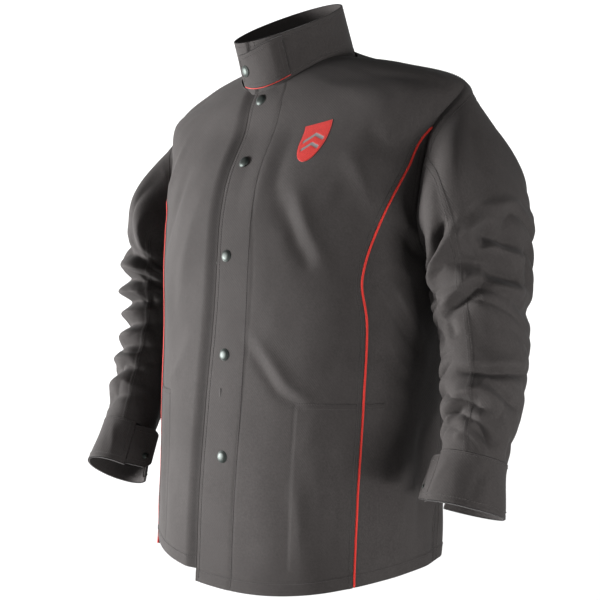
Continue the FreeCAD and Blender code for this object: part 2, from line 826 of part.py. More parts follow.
def chest_emblem():
    """Plain shield-shaped badge on the left chest."""
    low = height_to_share(EMBLEM_ANGLE, EMBLEM_Z - EMBLEM_HALF_HEIGHT)
    high = height_to_share(EMBLEM_ANGLE, EMBLEM_Z + EMBLEM_HALF_HEIGHT)

    def half(t):
        up = (t - low) / (high - low)
        width = EMBLEM_HALF_WIDTH * math.sqrt(max(math.sin(math.pi / 2 * min(up / 0.6, 1)), 0.01))
        return mm_to_degrees(torso, EMBLEM_ANGLE, t, width)

    keep("chest_emblem",
         cloth(torso, (lambda t: EMBLEM_ANGLE - half(t), lambda t: EMBLEM_ANGLE + half(t)),
               (low, high), 0.75, 0.05, across=8, along=(12,)))


def hanger_loop():
    """Strap loop sewn inside the back of the neck; a hook bears in its top."""
    lean = math.radians(LOOP_LEAN)
    up = FreeCAD.Vector(0, -math.sin(lean), math.cos(lean))
    inward = FreeCAD.Vector(0, -math.cos(lean), -math.sin(lean))
    base = vector(LOOP_BASE)

    def arch(half_width, rise):
        points = [base + FreeCAD.Vector(half_width, 0, 0) * math.cos(math.radians(a))
                  + up * (rise * math.sin(math.radians(a))) for a in range(0, 181, 15)]
        curve = Part.BSplineCurve()
        curve.interpolate(points)
        return curve.toShape()

    outer = arch(LOOP_HALF_WIDTH, LOOP_RISE)
    inner = arch(LOOP_HALF_WIDTH - LOOP_STRAP, LOOP_RISE - LOOP_STRAP)
    face = Part.makeRuledSurface(outer, inner)
    keep("hanger_loop", face.extrude(inward * LOOP_CLOTH))
    return base + up * (LOOP_RISE - LOOP_STRAP) + inward * (LOOP_CLOTH / 2)


def size_label():
    """Blank label on the inside of the back, below the neck seam."""
    keep("size_label",
         cloth(torso, (180 - 11, 180 + 11), (0.945, 0.985), -WALL - 0.05, -WALL - 0.75,
               across=6, along=(4,)))


def build():
    front_flaps()
    for side, name in ((1, "left"), (-1, "right")):
        fixed_front(side, name)
        side_panel(side, name)
        piping(side, name)
        inner_pocket(side, name)
        sleeve_parts(side, name)
    back_panel()
    waist_tabs()
    collar_parts()
    collar_tab()
    chest_emblem()
    size_label()
    origin = hanger_loop()
    print("origin in the working frame", origin)
    for name, shape in NODES.items():
        for solid in shape.Solids:
            if not solid.isValid() or solid.Volume < 1:
                print("not valid:", name, solid.Volume)
        placed = shape.copy()
        placed.translate(origin * -1)
        placed.exportStep("parts/%s.step" % name)
    print(len(NODES), "nodes")


build()
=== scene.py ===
"""Looks of the welding jacket: cloth with folds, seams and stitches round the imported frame.

Shapes are worked out in millimetres in the garment's own frame, with the front hem near
z = 0, and placed in the row frame, in metres, when each mesh is made.
"""
import json
import math
import bpy
import numpy as np
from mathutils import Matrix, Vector


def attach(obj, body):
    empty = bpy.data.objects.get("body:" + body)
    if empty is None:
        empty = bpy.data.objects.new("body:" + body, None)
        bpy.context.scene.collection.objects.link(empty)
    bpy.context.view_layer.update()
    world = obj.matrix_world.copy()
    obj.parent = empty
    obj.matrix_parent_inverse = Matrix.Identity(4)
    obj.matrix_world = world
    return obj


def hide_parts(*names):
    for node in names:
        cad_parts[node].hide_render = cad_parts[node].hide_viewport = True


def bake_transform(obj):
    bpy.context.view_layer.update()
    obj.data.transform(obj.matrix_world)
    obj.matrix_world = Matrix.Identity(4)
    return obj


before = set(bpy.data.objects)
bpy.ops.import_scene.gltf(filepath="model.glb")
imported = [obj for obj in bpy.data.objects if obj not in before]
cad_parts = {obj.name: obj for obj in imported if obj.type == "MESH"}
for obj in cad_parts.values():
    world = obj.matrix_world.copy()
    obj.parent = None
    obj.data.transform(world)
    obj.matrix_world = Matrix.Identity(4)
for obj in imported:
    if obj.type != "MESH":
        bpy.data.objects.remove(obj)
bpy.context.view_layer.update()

# ---- the garment's shape, as the frame has it (mm) ----
LOOP_BASE = np.array([0.0, 70.3, 740.0])
LOOP_LEAN = math.radians(24)
LOOP_UP = np.array([0.0, -math.sin(LOOP_LEAN), math.cos(LOOP_LEAN)])
LOOP_IN = np.array([0.0, -math.cos(LOOP_LEAN), -math.sin(LOOP_LEAN)])
LOOP_HALF, LOOP_RISE, LOOP_STRAP, LOOP_CLOTH = 24.0, 17.0, 4.5, 1.4
ORIGIN = LOOP_BASE + LOOP_UP * (LOOP_RISE - LOOP_STRAP) + LOOP_IN * (LOOP_CLOTH / 2)

TORSO = np.array([
    (0.00, -14, 15, 0, 217, 174, 150, -4, 2.30),
    (0.14, 110, 128, 120, 221, 175, 150, -2, 2.30),
    (0.28, 232, 240, 238, 225, 172, 149, 3, 2.30),
    (0.44, 345, 348, 348, 228, 169, 148, 8, 2.25),
    (0.56, 420, 415, 425, 230, 166, 147, 10, 2.20),
    (0.66, 480, 495, 495, 236, 160, 145, 12, 2.05),
    (0.76, 540, 572, 578, 246, 148, 134, 18, 1.98),
    (0.84, 592, 647, 650, 260, 128, 112, 25, 1.95),
    (0.92, 628, 685, 708, 170, 106, 92, 12, 1.95),
    (1.00, 655, 705, 742, 81, 84, 78, 0, 2.00),
])
T_ARMPIT, T_SHOULDER, TORSO_TOP = 0.56, 0.84, 0.996
ARMHOLE = np.array([(0.56, 90, 90), (0.58, 82, 107), (0.62, 75.5, 119), (0.68, 74, 126),
                    (0.74, 73.5, 123), (0.80, 76, 111), (0.84, 90, 90)], float)
DRAWN_IN = np.array([(0.00, 0), (0.08, 5), (0.20, 12), (0.30, 12), (0.40, 8), (0.55, 1), (0.70, 0),
                     (1.00, 0)], float)
LEFT_ARM = [
    ((274, 20, 496), (0.86, 0.00, -0.51), 74, 100),
    ((289, 14, 442), (0.64, -0.02, -0.77), 69, 90),
    ((295, 6, 387), (0.29, -0.08, -0.95), 60, 77),
    ((305, -4, 335), (0.18, -0.16, -0.97), 55, 66),
    ((316, -20, 285), (0.10, -0.24, -0.95), 51, 57),
    ((323, -38, 238), (0.04, -0.32, -0.94), 47, 52),
    ((326, -60, 180), (0.00, -0.36, -0.94), 38, 43),
    ((327, -84, 122), (0.00, -0.36, -0.94), 46, 50),
]
RIGHT_ARM = [
    ((268, 14, 496), (0.90, 0.00, -0.44), 70, 98),
    ((283, 10, 439), (0.65, -0.06, -0.76), 63, 88),
    ((291, 0, 379), (0.20, -0.16, -0.97), 55, 76),
    ((285, -16, 325), (0.00, -0.30, -0.95), 48, 64),
    ((279, -42, 272), (-0.06, -0.42, -0.90), 46, 56),
    ((273, -70, 218), (-0.12, -0.50, -0.86), 44, 50),
    ((265, -100, 160), (-0.12, -0.54, -0.84), 38, 42),
    ((257, -132, 100), (-0.12, -0.54, -0.84), 44, 48),
]
ARMS = {1: LEFT_ARM, -1: RIGHT_ARM}
SIDES = ((1, "left"), (-1, "right"))
SEAM_FRONT = {1: 72.0, -1: 118.0}
SEAM_BACK = 258.0
SPLIT = 3.3             # ring where the upper sleeve piece hands over to the forearm piece
CUFF = 7.0

COLLAR_TOP = (77, 78, -25, 759, 40)     # half width, half depth, lean, height, rise
COLLAR_LEFT_EDGE, COLLAR_RIGHT_EDGE, COLLAR_UNDERLAP = -2.0, 6.0, 3.5
COLLAR_TURN = 0.09      # share of the collar's height that is turned in below the neck seam
LEFT_EDGE = np.array([(0.00, -34), (0.28, -22), (0.50, -14), (0.76, -16), (1.00, -9)], float)
RIGHT_EDGE, UNDERLAP, UNDERLAP_BLEND = 17.0, 6.0, 26.0
RIGHT_HEM_RISE = 0.016
FACING_WIDTH = 56.0
FOLD_TOP = np.array([80.0, -110.0, 735.0])
FOLD_FOOT = np.array([140.0, -202.0, -14.0])
FOLD_INWARD = np.array([-0.5, 0.87, 0.0])
PRINCESS = {
    1: np.array([(0.00, 55.5), (0.30, 55.8), (0.43, 55.3), (0.52, 52.6), (0.56, 53.6), (0.63, 58.2),
                 (0.72, 66.3), (0.77, 70.5), (0.785, 73.8)]),
    -1: np.array([(0.00, 48.0), (0.30, 47.5), (0.43, 48.0), (0.52, 48.5), (0.56, 49.0), (0.63, 51.0),
                  (0.72, 60.0), (0.77, 69.0), (0.785, 73.8)]),
}
T_PRINCESS_END = 0.785
SIDE_SEAM = np.array([(0.00, 100), (0.38, 100), (0.56, 90)], float)
SNAP_X = [14, 9, 4, 7, 6]
SNAP_Z = [160, 294, 425, 552, 640]
TAB_CLOTH, TAB_LIFT = 1.8, 2.8
TAB_SEWN, TAB_END, TAB_SNAP = 34.0, -23.0, -13.0
WAIST_SEWN, WAIST_END, WAIST_SNAP, WAIST_LOW, WAIST_HIGH = 104.0, 131.0, 126.0, 212.0, 262.0
CUFF_HINGE, CUFF_LENGTH, CUFF_FLARE, CUFF_OVERLAP, CUFF_CAP = 150.0, 38.0, 20.0, 206.0, 216.0
CUFF_PROUD = 0.8
POCKET_SIDES, POCKET_LOW, POCKET_HIGH = (29.0, 66.0), 24.0, 238.0
EMBLEM_ANGLE, EMBLEM_Z, EMBLEM_HALF_HEIGHT, EMBLEM_HALF_WIDTH = 25.5, 572.0, 26.0, 20.0

SNAP_GAP = 0.35
CLOTH = 1.3             # thickness of the visible outer cloth
STACK = 2.7             # outer cloth, gap and facing together
MM_PER_DEGREE = 3.6     # round the torso


# ================= curves and surfaces =================

def through(stations, where):
    """Smooth curve through rows (position, values...), at an array of positions."""
    at = stations[:, 0]
    values = stations[:, 1:]
    step = np.diff(at)[:, None]
    slope = np.diff(values, axis=0) / step
    tangent = np.empty_like(values)
    tangent[0], tangent[-1] = slope[0], slope[-1]
    tangent[1:-1] = (slope[:-1] * step[1:] + slope[1:] * step[:-1]) / (step[:-1] + step[1:])
    where = np.clip(np.asarray(where, float), at[0], at[-1])
    low = np.clip(np.searchsorted(at, where, side="right") - 1, 0, len(at) - 2)
    x = ((where - at[low]) / step[low, 0])[..., None]
    size = step[low]
    return (values[low] * (1 + 2 * x) * (1 - x) ** 2 + tangent[low] * size * x * (1 - x) ** 2
            + values[low + 1] * x * x * (3 - 2 * x) + tangent[low + 1] * size * x * x * (x - 1))


def ease(x):
    x = np.clip(x, 0.0, 1.0)
    return x * x * (3 - 2 * x)


def power(value, exponent):
    return np.sign(value) * np.abs(value) ** exponent


def unit(v):
    return v / np.maximum(np.linalg.norm(v, axis=-1, keepdims=True), 1e-9)


def torso(angle, t):
    """Torso surface: degrees from the front, + to the wearer's left, and share of height."""
    angle, t = np.broadcast_arrays(np.asarray(angle, float), np.asarray(t, float))
    row = through(TORSO, t)
    z_front, z_side, z_back, width, front, back, middle, round_ = np.moveaxis(row, -1, 0)
    s, c = np.sin(np.radians(angle)), np.cos(np.radians(angle))
    depth = np.where(c > 0, front, back)
    z_end = np.where(c > 0, z_front, z_back)
    width = width - np.where(s < 0, through(DRAWN_IN, t)[..., 0], 0.0)
    return np.stack([width * power(s, 2 / round_), middle - depth * power(c, 2 / round_),
                     z_side + (z_end - z_side) * c * c], -1)


def collar(angle, h):
    angle, h = np.broadcast_arrays(np.asarray(angle, float), np.asarray(h, float))
    a = np.radians(angle)
    base = torso(angle, np.ones_like(angle))
    width, depth, lean, height, rise = COLLAR_TOP
    top = np.stack([width * np.sin(a), lean - depth * np.cos(a), height - rise * np.cos(a)], -1)
    return base + (top - base) * h[..., None]


def armhole_place(phi):
    """Angle and share of height of the armhole edge: 0 at the shoulder, 90 in front."""
    phi = np.asarray(phi, float) % 360
    behind = phi > 180
    share = np.where(behind, 360 - phi, phi) / 180
    t = T_SHOULDER + (T_ARMPIT - T_SHOULDER) * (1 - np.cos(np.pi * share)) / 2
    angles = through(ARMHOLE, t)
    return np.where(behind, angles[..., 1], angles[..., 0]), t


def armhole(side, phi):
    return torso(*armhole_place(phi)) * np.array([side, 1, 1])


def arm_ring(side, index):
    """Centre, outward and forward directions, half sizes and direction of one arm ring."""
    centre, along, width, depth = ARMS[side][index - 1]
    along = unit(np.array(along, float))
    outward = np.array([1.0, 0, 0])
    outward = unit(outward - along * (outward @ along))
    forward = unit(np.cross(along, outward))
    if forward[1] > 0:
        forward = -forward
    mirror = np.array([side, 1, 1])
    return np.array(centre) * mirror, outward * mirror, forward * mirror, width, depth, along * mirror


def arm(side):
    rings = [arm_ring(side, i) for i in range(1, 9)]

    def point(phi, s):
        phi, s = np.broadcast_arrays(np.asarray(phi, float), np.asarray(s, float))
        a = np.radians(phi)[..., None]
        knots = [armhole(side, phi)]
        knots += [c + o * w * np.cos(a) + f * d * np.sin(a) for c, o, f, w, d, _ in rings]
        knots = np.stack(knots, 0)
        s = np.clip(s, 0, 8)
        low = np.clip(np.floor(s).astype(int), 0, 7)
        x = (s - low)[..., None]

        def pick(index):
            index = np.clip(index, 0, 8)
            return np.take_along_axis(knots, index[None, ..., None], 0)[0]

        before, first, second, after = pick(low - 1), pick(low), pick(low + 1), pick(low + 2)
        slope_in = np.where((low > 0)[..., None], (second - before) / 2, second - first)
        slope_out = np.where((low < 7)[..., None], (after - first) / 2, second - first)
        return (first * (1 + 2 * x) * (1 - x) ** 2 + slope_in * x * (1 - x) ** 2
                + second * x * x * (3 - 2 * x) + slope_out * x * x * (x - 1))
    return point


def normal_of(surface, u, v, sign=1, top=1.0):
    """Unit normals of a surface by differences."""
    du = surface(u + 0.2, v) - surface(u - 0.2, v)
    low = np.clip(v - 0.002 * top, 0, top * 0.996)
    dv = surface(u, low + 0.004 * top) - surface(u, low)
    return unit(np.cross(du, dv)) * sign


def solve(function, low, high):
    """Where a monotonic array function crosses 0, for each entry of low and high."""
    sign = np.where(function(high) > function(low), 1, -1)
    for _ in range(36):
        middle = (low + high) / 2
        above = sign * function(middle) > 0
        high = np.where(above, middle, high)
        low = np.where(above, low, middle)
    return (low + high) / 2


def angle_at_x(surface, v, x):
    v = np.asarray(v, float)
    return solve(lambda a: surface(a, v)[..., 0] - x, np.full(v.shape, -80.0), np.full(v.shape, 80.0))


FOLD_ALONG = unit(FOLD_TOP - FOLD_FOOT)
FOLD_NORMAL = unit(np.cross(FOLD_ALONG, FOLD_INWARD))
if FOLD_NORMAL[0] < 0:
    FOLD_NORMAL = -FOLD_NORMAL


def height_to_share(angle, z):
    angle = np.asarray(angle, float)
    return solve(lambda t: torso(angle, t)[..., 2] - z, np.zeros(angle.shape), np.ones(angle.shape))


def per_degree(surface, angle, v):
    """Length of one degree round a surface."""
    return np.linalg.norm(surface(angle + 0.5, v) - surface(angle - 0.5, v), axis=-1)


# ================= folds and creases =================

def stroke(x, y, line, width, height, sharp=1.0):
    """Height of one soft fold along a line of points, tapering to its ends."""
    best = np.full(x.shape, 1e9)
    share = np.zeros(x.shape)
    line = np.array(line, float)
    parts = np.linalg.norm(np.diff(line, axis=0), axis=1)
    whole = parts.sum()
    done = 0.0
    for start, end, part in zip(line, line[1:], parts):
        along = (end - start) / part
        reach = np.clip((x - start[0]) * along[0] + (y - start[1]) * along[1], 0, part)
        away = np.hypot(x - start[0] - along[0] * reach, y - start[1] - along[1] * reach)
        nearer = away < best
        best = np.where(nearer, away, best)
        share = np.where(nearer, (done + reach) / whole, share)
        done += part
    taper = np.sin(np.pi * np.clip(share * 0.96 + 0.02, 0, 1)) ** 0.7
    fall = np.exp(-(best / width) ** 2) * (1 - sharp) + sharp / (1 + (best / width) ** 2) ** 2
    return height * taper * fall


def noise_field(seed, x, y, size_x, size_y):
    """Smooth random field from -1 to 1 with a given grain."""
    rng = np.random.default_rng(seed)
    table = rng.uniform(-1, 1, (64, 64))
    gx, gy = x / size_x + 700, y / size_y + 700
    ix, iy = np.floor(gx).astype(int), np.floor(gy).astype(int)
    fx, fy = ease(gx - ix), ease(gy - iy)

    def at(i, j):
        return table[(ix + i) % 64, (iy + j) % 64]
    return ((at(0, 0) * (1 - fx) + at(1, 0) * fx) * (1 - fy)
            + (at(0, 1) * (1 - fx) + at(1, 1) * fx) * fy)


# soft folds on the torso: points (degrees from the front, height), width, height
TORSO_FOLDS = [
    ([(20, 505), (27, 440), (33, 405)], 13, -3.2),
    ([(24, 515), (32, 450), (38, 415)], 13, 2.6),
    ([(10, 330), (26, 258), (36, 236)], 11, 2.4),
    ([(6, 322), (22, 250), (34, 228)], 9, -2.0),
    ([(2, 600), (4, 540), (3, 470)], 13, -2.6),
    ([(9, 610), (11, 540), (10, 450)], 12, 2.2),
    ([(16, 600), (17, 520), (20, 470)], 12, -1.6),
    ([(62, 400), (74, 350), (84, 312)], 12, 4.0),
    ([(60, 380), (72, 332), (82, 296)], 10, -3.6),
    ([(58, 340), (70, 292), (80, 262)], 12, 3.0),
    ([(66, 458), (76, 430), (86, 418)], 10, -3.5),
    ([(63, 500), (70, 462), (80, 440)], 11, 3.6),
    ([(40, 560), (50, 515), (58, 470)], 15, 2.4),
    ([(44, 590), (54, 560), (63, 545)], 12, -2.4),
    ([(30, 150), (33, 90), (34, 30)], 16, 2.2),
    ([(44, 190), (47, 110), (46, 30)], 18, -2.2),
    ([(74, 190), (76, 110), (74, 30)], 16, 2.8),
    ([(86, 210), (88, 110), (86, 30)], 15, -2.8),
    ([(-14, 520), (-20, 420), (-24, 330)], 18, 2.2),
    ([(-28, 560), (-34, 500), (-42, 440)], 14, -2.4),
    ([(-36, 590), (-46, 540), (-58, 500)], 13, 3.0),
    ([(-10, 330), (-24, 262), (-38, 232)], 14, 1.8),
    ([(-30, 190), (-32, 110), (-30, 25)], 18, -2.0),
    ([(-52, 360), (-64, 300), (-72, 240)], 14, 3.0),
    ([(-60, 420), (-72, 380), (-84, 350)], 12, -3.4),
    ([(-78, 220), (-80, 120), (-78, 30)], 16, 3.0),
    ([(40, 655), (60, 662), (80, 640)], 15, -2.0),
    ([(-36, 655), (-58, 662), (-80, 640)], 15, -2.0),
    ([(110, 420), (124, 340), (132, 270)], 18, 4.5),
    ([(118, 460), (136, 400), (150, 330)], 18, -4.0),
    ([(140, 480), (156, 420), (166, 340)], 22, 3.5),
    ([(248, 420), (236, 340), (228, 270)], 18, 4.5),
    ([(242, 460), (224, 400), (210, 330)], 18, -4.0),
    ([(220, 480), (204, 420), (194, 340)], 22, 3.5),
    ([(170, 300), (176, 180), (174, 40)], 26, -3.5),
    ([(196, 290), (192, 170), (194, 40)], 26, 3.5),
    ([(148, 250), (146, 140), (148, 30)], 24, 3.5),
    ([(214, 250), (216, 140), (212, 30)], 24, -3.5),
    ([(125, 215), (124, 120), (126, 30)], 20, -3.5),
    ([(236, 215), (238, 120), (236, 30)], 20, 3.5),
    ([(116, 237), (140, 250), (160, 246)], 12, 3.5),
    ([(244, 237), (220, 250), (200, 246)], 12, 3.5),
]


def torso_relief(angle, t):
    """Folds of the torso cloth, kept away from the front edge, hem and neck."""
    angle = (np.asarray(angle, float) + 180) % 360 - 180
    z = torso(angle, t)[..., 2]
    x = angle * MM_PER_DEGREE
    total = np.zeros(np.broadcast(x, z).shape)
    for line, width, height in TORSO_FOLDS:
        height = 1.5 * height
        turned = [(((a + 180) % 360 - 180) * MM_PER_DEGREE, level) for a, level in line]
        total += stroke(x, z, turned, width, height, 0.5)
    grain = np.abs(angle) / 60.0
    wide = noise_field(11, x + z * 0.25, z - x * 0.1, 46, 120)
    fine = noise_field(12, x - z * 0.3, z + x * 0.2, 17, 44)
    total += wide * (0.9 + 1.0 * np.clip(grain, 0, 1.6)) + fine * (0.25 + 0.3 * np.clip(grain, 0, 1.6))
    calm = ease((705 - z) / 60) * ease((z - 4) / 30 * 0.6 + 0.4)
    placket = 0.35 + 0.65 * ease((np.abs(x) - 20) / 50)
    return total * calm * placket * ease((180 - np.abs(angle)) / 14)


# sleeve folds: points (degrees round the arm, ring), width, height
LEFT_ARM_FOLDS = [
    ([(80, 1.8), (98, 1.9), (125, 2.3)], 8, -12),
    ([(72, 2.0), (90, 2.2), (108, 2.4), (118, 3.0)], 7, 7.5),
    ([(75, 2.2), (40, 2.2)], 7, 5),
    ([(45, 2.2), (45, 2.6)], 7, -7),
    ([(45, 2.5), (20, 2.7), (-5, 2.8)], 6, 7),
    ([(45, 2.35), (25, 2.55), (-5, 2.65)], 6, -9.5),
    ([(90, 2.6), (55, 2.8), (15, 2.9)], 7, -10),
    ([(50, 3.0), (5, 3.2)], 7, -11),
    ([(50, 3.2), (25, 3.35), (-5, 3.45)], 7, 6.5),
    ([(112, 3.9), (80, 3.6), (58, 3.3), (40, 3.2)], 8, -11),
    ([(108, 3.6), (82, 3.3), (58, 3.0)], 8, 7),
    ([(105, 4.0), (95, 4.4)], 8, -4.5),
    ([(20, 3.6), (-10, 3.8), (-45, 3.7)], 8, -6.5),
    ([(100, 5.3), (50, 5.3), (-20, 5.1)], 6, -8),
    ([(95, 5.1), (50, 5.1), (-15, 4.9)], 9, 3),
    ([(125, 6.3), (90, 5.9), (65, 5.75), (20, 6.05)], 7, 5.5),
    ([(118, 6.45), (90, 6.2), (60, 6.1)], 6, -7.5),
    ([(58, 5.5), (35, 5.75), (-5, 5.95)], 6, -5.5),
    ([(75, 6.5), (20, 6.8)], 5, -5.5),
    ([(100, 6.8), (75, 6.6), (55, 6.8)], 5, 4),
    ([(150, 2.9), (132, 3.1), (122, 3.5)], 8, -7),
    ([(150, 4.0), (132, 4.3), (116, 4.6)], 9, -5),
    ([(70, 0.25), (78, 1.0), (86, 1.7)], 11, -3.4),
    ([(44, 0.3), (52, 1.1), (58, 1.9)], 12, 3.2),
    ([(24, 0.4), (30, 1.2), (32, 2.0)], 11, -2.6),
    ([(-20, 0.6), (-26, 1.4), (-40, 2.3)], 14, 3.5),
    ([(-60, 0.7), (-64, 1.5), (-80, 2.4)], 14, -4.5),
]
RIGHT_ARM_FOLDS = [
    ([(60, 0.3), (74, 1.1), (88, 1.9)], 12, -4.0),
    ([(30, 0.4), (44, 1.3), (56, 2.2)], 13, 3.6),
    ([(96, 0.4), (106, 1.2), (112, 1.9)], 9, 4.0),
    ([(150, 1.7), (116, 2.1), (80, 2.3), (40, 2.2)], 8, -7.0),
    ([(146, 2.1), (110, 2.5), (70, 2.7), (24, 2.6)], 8, 6.0),
    ([(152, 2.7), (110, 2.95), (66, 3.05), (14, 2.9)], 7, -8.0),
    ([(146, 3.1), (104, 3.35), (60, 3.4), (10, 3.25)], 8, 6.5),
    ([(150, 3.5), (108, 3.65), (62, 3.75), (16, 3.7)], 7, -7.5),
    ([(140, 3.85), (98, 4.05), (52, 4.1), (4, 4.05)], 7, 5.5),
    ([(150, 4.25), (104, 4.4), (56, 4.45), (6, 4.5)], 7, -6.5),
    ([(134, 4.65), (88, 4.8), (40, 4.85)], 7, 4.5),
    ([(146, 5.0), (100, 5.1), (50, 5.15), (0, 5.1)], 6, -5.5),
    ([(128, 5.4), (84, 5.5), (34, 5.5)], 6, 4.0),
    ([(140, 5.75), (94, 5.8), (46, 5.85), (0, 5.9)], 6, -4.5),
    ([(118, 6.1), (74, 6.15), (28, 6.2)], 6, 3.4),
    ([(134, 6.45), (90, 6.5), (40, 6.55)], 5, -3.6),
]
BACK_ARM_FOLDS = [
    ([(200, 1.9), (250, 2.2), (300, 2.5)], 10, -6.0),
    ([(196, 2.5), (244, 2.8), (296, 3.0)], 9, 5.5),
    ([(204, 3.1), (256, 3.3), (310, 3.3)], 8, -6.0),
    ([(196, 3.7), (246, 3.8), (300, 3.8)], 9, 5.0),
    ([(200, 4.3), (252, 4.3), (306, 4.4)], 8, -5.0),
    ([(196, 4.9), (250, 5.0), (300, 5.0)], 8, 4.0),
    ([(200, 5.6), (250, 5.6), (304, 5.7)], 7, -4.5),
    ([(204, 6.2), (256, 6.3), (300, 6.2)], 7, 3.0),
]
MM_PER_TURN = 0.98      # round the arm, per degree
MM_PER_RING = 51.0
ARM_FOLD_GAIN = {1: 1.35, -1: 1.6}
ROLL_SPACING, ROLL_HEIGHT = 28.0, {1: 7.5, -1: 3.0}     # rolls of slack cloth round the arm


def arm_relief(side):
    designed = (LEFT_ARM_FOLDS if side > 0 else RIGHT_ARM_FOLDS) + BACK_ARM_FOLDS
    rng = np.random.default_rng(5 if side > 0 else 6)
    small = []
    for _ in range(44):
        centre, ring = rng.uniform(-60, 300), rng.uniform(1.6, 6.7)
        half, tilt = rng.uniform(16, 42), rng.uniform(-0.32, 0.32)
        size = rng.uniform(4.0, 7.5)
        small.append(([(centre - half, ring - tilt), (centre, ring + 0.06), (centre + half, ring + tilt)],
                      size, rng.choice([-1, 1]) * rng.uniform(0.9, 2.3) * (0.35 if 3.7 < ring < 5.0 else 1.0)))

    def relief(phi, s):
        phi = (np.asarray(phi, float) + 60) % 360 - 60
        x, y = phi * MM_PER_TURN, s * MM_PER_RING
        total = np.zeros(np.broadcast(x, y).shape)
        for line, width, height in designed + small:
            width, height = 1.25 * width, ARM_FOLD_GAIN[side] * height
            points = np.array([(a * MM_PER_TURN, ring * MM_PER_RING) for a, ring in line])
            for turn in (-360 * MM_PER_TURN, 0, 360 * MM_PER_TURN):
                shifted = points + np.array([turn, 0])
                if shifted[:, 0].max() > x.min() - 60 and shifted[:, 0].min() < x.max() + 60:
                    total += stroke(x, y, shifted, width, height, 0.5)
        wobble = noise_field(21, np.cos(np.radians(phi)) * 90 + y * 0.4,
                             np.sin(np.radians(phi)) * 90 + y, 34, 22)
        total += wobble * 1.3 * ease((s - 0.5) / 1.5)
        across, forward = np.cos(np.radians(phi)) * 57, np.sin(np.radians(phi)) * 57
        warp = noise_field(81 + side, across + y * 0.2, forward + y, 46, 40)
        phase = np.pi * (y + 14 * np.sin(np.radians(phi - 45)) + 22 * warp) / ROLL_SPACING
        rolls = np.abs(np.sin(phase)) ** 0.8 - 0.62
        strength = np.clip(0.55 + 0.9 * noise_field(85 + side, across, forward + y, 52, 44), 0, 1.1)
        strength *= ease((s - 1.7) / 0.6) * (1 - 0.6 * np.exp(-((s - 4.4) / 0.7) ** 2))
        total += ROLL_HEIGHT[side] * rolls * strength
        edge = ease(s / 0.35) * ease((CUFF - s) / 0.35)
        return total * edge
    return relief


def seam_relief(distance, lap=1):
    """Ridge and groove of a felled seam: lap is the side that the seam allowance lies on."""
    toward = distance * lap
    ridge = 0.75 * ease((toward + 0.6) / 1.2) * ease((8.4 - toward) / 1.8)
    groove = -0.7 * np.exp(-((toward + 0.4) / 0.8) ** 2)
    stitch = -0.35 * np.exp(-((toward - 1.6) / 0.7) ** 2) - 0.35 * np.exp(-((toward - 7.0) / 0.7) ** 2)
    return ridge + groove + stitch


# ================= meshes =================

def to_row(points):
    return (np.asarray(points) - ORIGIN) / 1000.0


PIECES = {}


def add_mesh(name, points, faces, material):
    mesh = bpy.data.meshes.new(name)
    mesh.from_pydata(to_row(points).tolist(), [], faces)
    mesh.polygons.foreach_set("use_smooth", [True] * len(mesh.polygons))
    mesh.update()
    piece = bpy.data.objects.new(name, mesh)
    bpy.context.scene.collection.objects.link(piece)
    mesh.materials.append(material)
    PIECES[name] = piece
    return piece


def grid_faces(rows, columns, start, closed, flip):
    faces = []
    span = columns if closed else columns - 1
    for j in range(rows - 1):
        for i in range(span):
            a = start + j * columns + i
            b = start + j * columns + (i + 1) % columns
            quad = (a, b, b + columns, a + columns)
            faces.append(quad[::-1] if flip else quad)
    return faces


def sheet_mesh(name, outer, inner, material, closed=False, flip=False, normals=None):
    """Cloth between an outer and an inner grid, with rounded raw edges."""
    rows, columns = outer.shape[:2]
    count = rows * columns
    points = [outer.reshape(-1, 3), inner.reshape(-1, 3)]
    faces = grid_faces(rows, columns, 0, closed, flip)
    faces += grid_faces(rows, columns, count, closed, not flip)
    number = 2 * count
    edges = [([(0, i) for i in range(columns)], (1, 0), True),
             ([(rows - 1, i) for i in range(columns)], (-1, 0), False)]
    if not closed:
        edges += [([(j, 0) for j in range(rows)], (0, 1), False),
                  ([(j, columns - 1) for j in range(rows)], (0, -1), True)]
    for line, inward, turn in edges:
        js, is_ = np.array(line).T
        a, b = outer[js, is_], inner[js, is_]
        back = outer[js + inward[0], is_ + inward[1]]
        middle = (a + b) / 2 + unit(a - back) * np.linalg.norm(a - b, axis=1, keepdims=True) * 0.32
        points.append(middle)
        loop = closed and inward[0] != 0
        steps = len(line) if loop else len(line) - 1
        for k in range(steps):
            n = (k + 1) % len(line)
            o1, o2 = js[k] * columns + is_[k], js[n] * columns + is_[n]
            m1, m2 = number + k, number + n
            for quad in ((o1, m1, m2, o2), (m1, o1 + count, o2 + count, m2)):
                quad = tuple(int(q) for q in quad)
                faces.append(quad[::-1] if turn != flip else quad)
        number += len(line)
    piece = add_mesh(name, np.concatenate(points), faces, material)
    if normals is not None:
        every = np.zeros((number, 3))
        every[:count] = normals.reshape(-1, 3)
        every[count:2 * count] = -normals.reshape(-1, 3)
        current = np.zeros(number * 3)
        piece.data.vertex_normals.foreach_get("vector", current)
        every[2 * count:] = current.reshape(-1, 3)[2 * count:]
        piece.data.normals_split_custom_set_from_vertices(every.tolist())
    return piece


def lengths(grid):
    """Longest row and longest column of a grid, and its area, in metres."""
    row = np.linalg.norm(np.diff(grid, axis=1), axis=2).sum(1).max() / 1000
    column = np.linalg.norm(np.diff(grid, axis=0), axis=2).sum(0).max() / 1000
    a, b = np.diff(grid, axis=1)[:-1], np.diff(grid, axis=0)[:, :-1]
    area = np.linalg.norm(np.cross(a, b), axis=2).sum() / 1e6
    return row, column, area


def declare(piece, grid):
    """Say what flat cut a cloth piece comes from."""
    width, length, area = lengths(grid)
    width, length = max(round(width + 0.001, 3), 0.01), max(round(length + 0.001, 3), 0.01)
    area = min(max(area, 0.305 * width * length), width * length)
    FLAT[piece.name] = (width, length, round(area, 4))


FLAT = {}


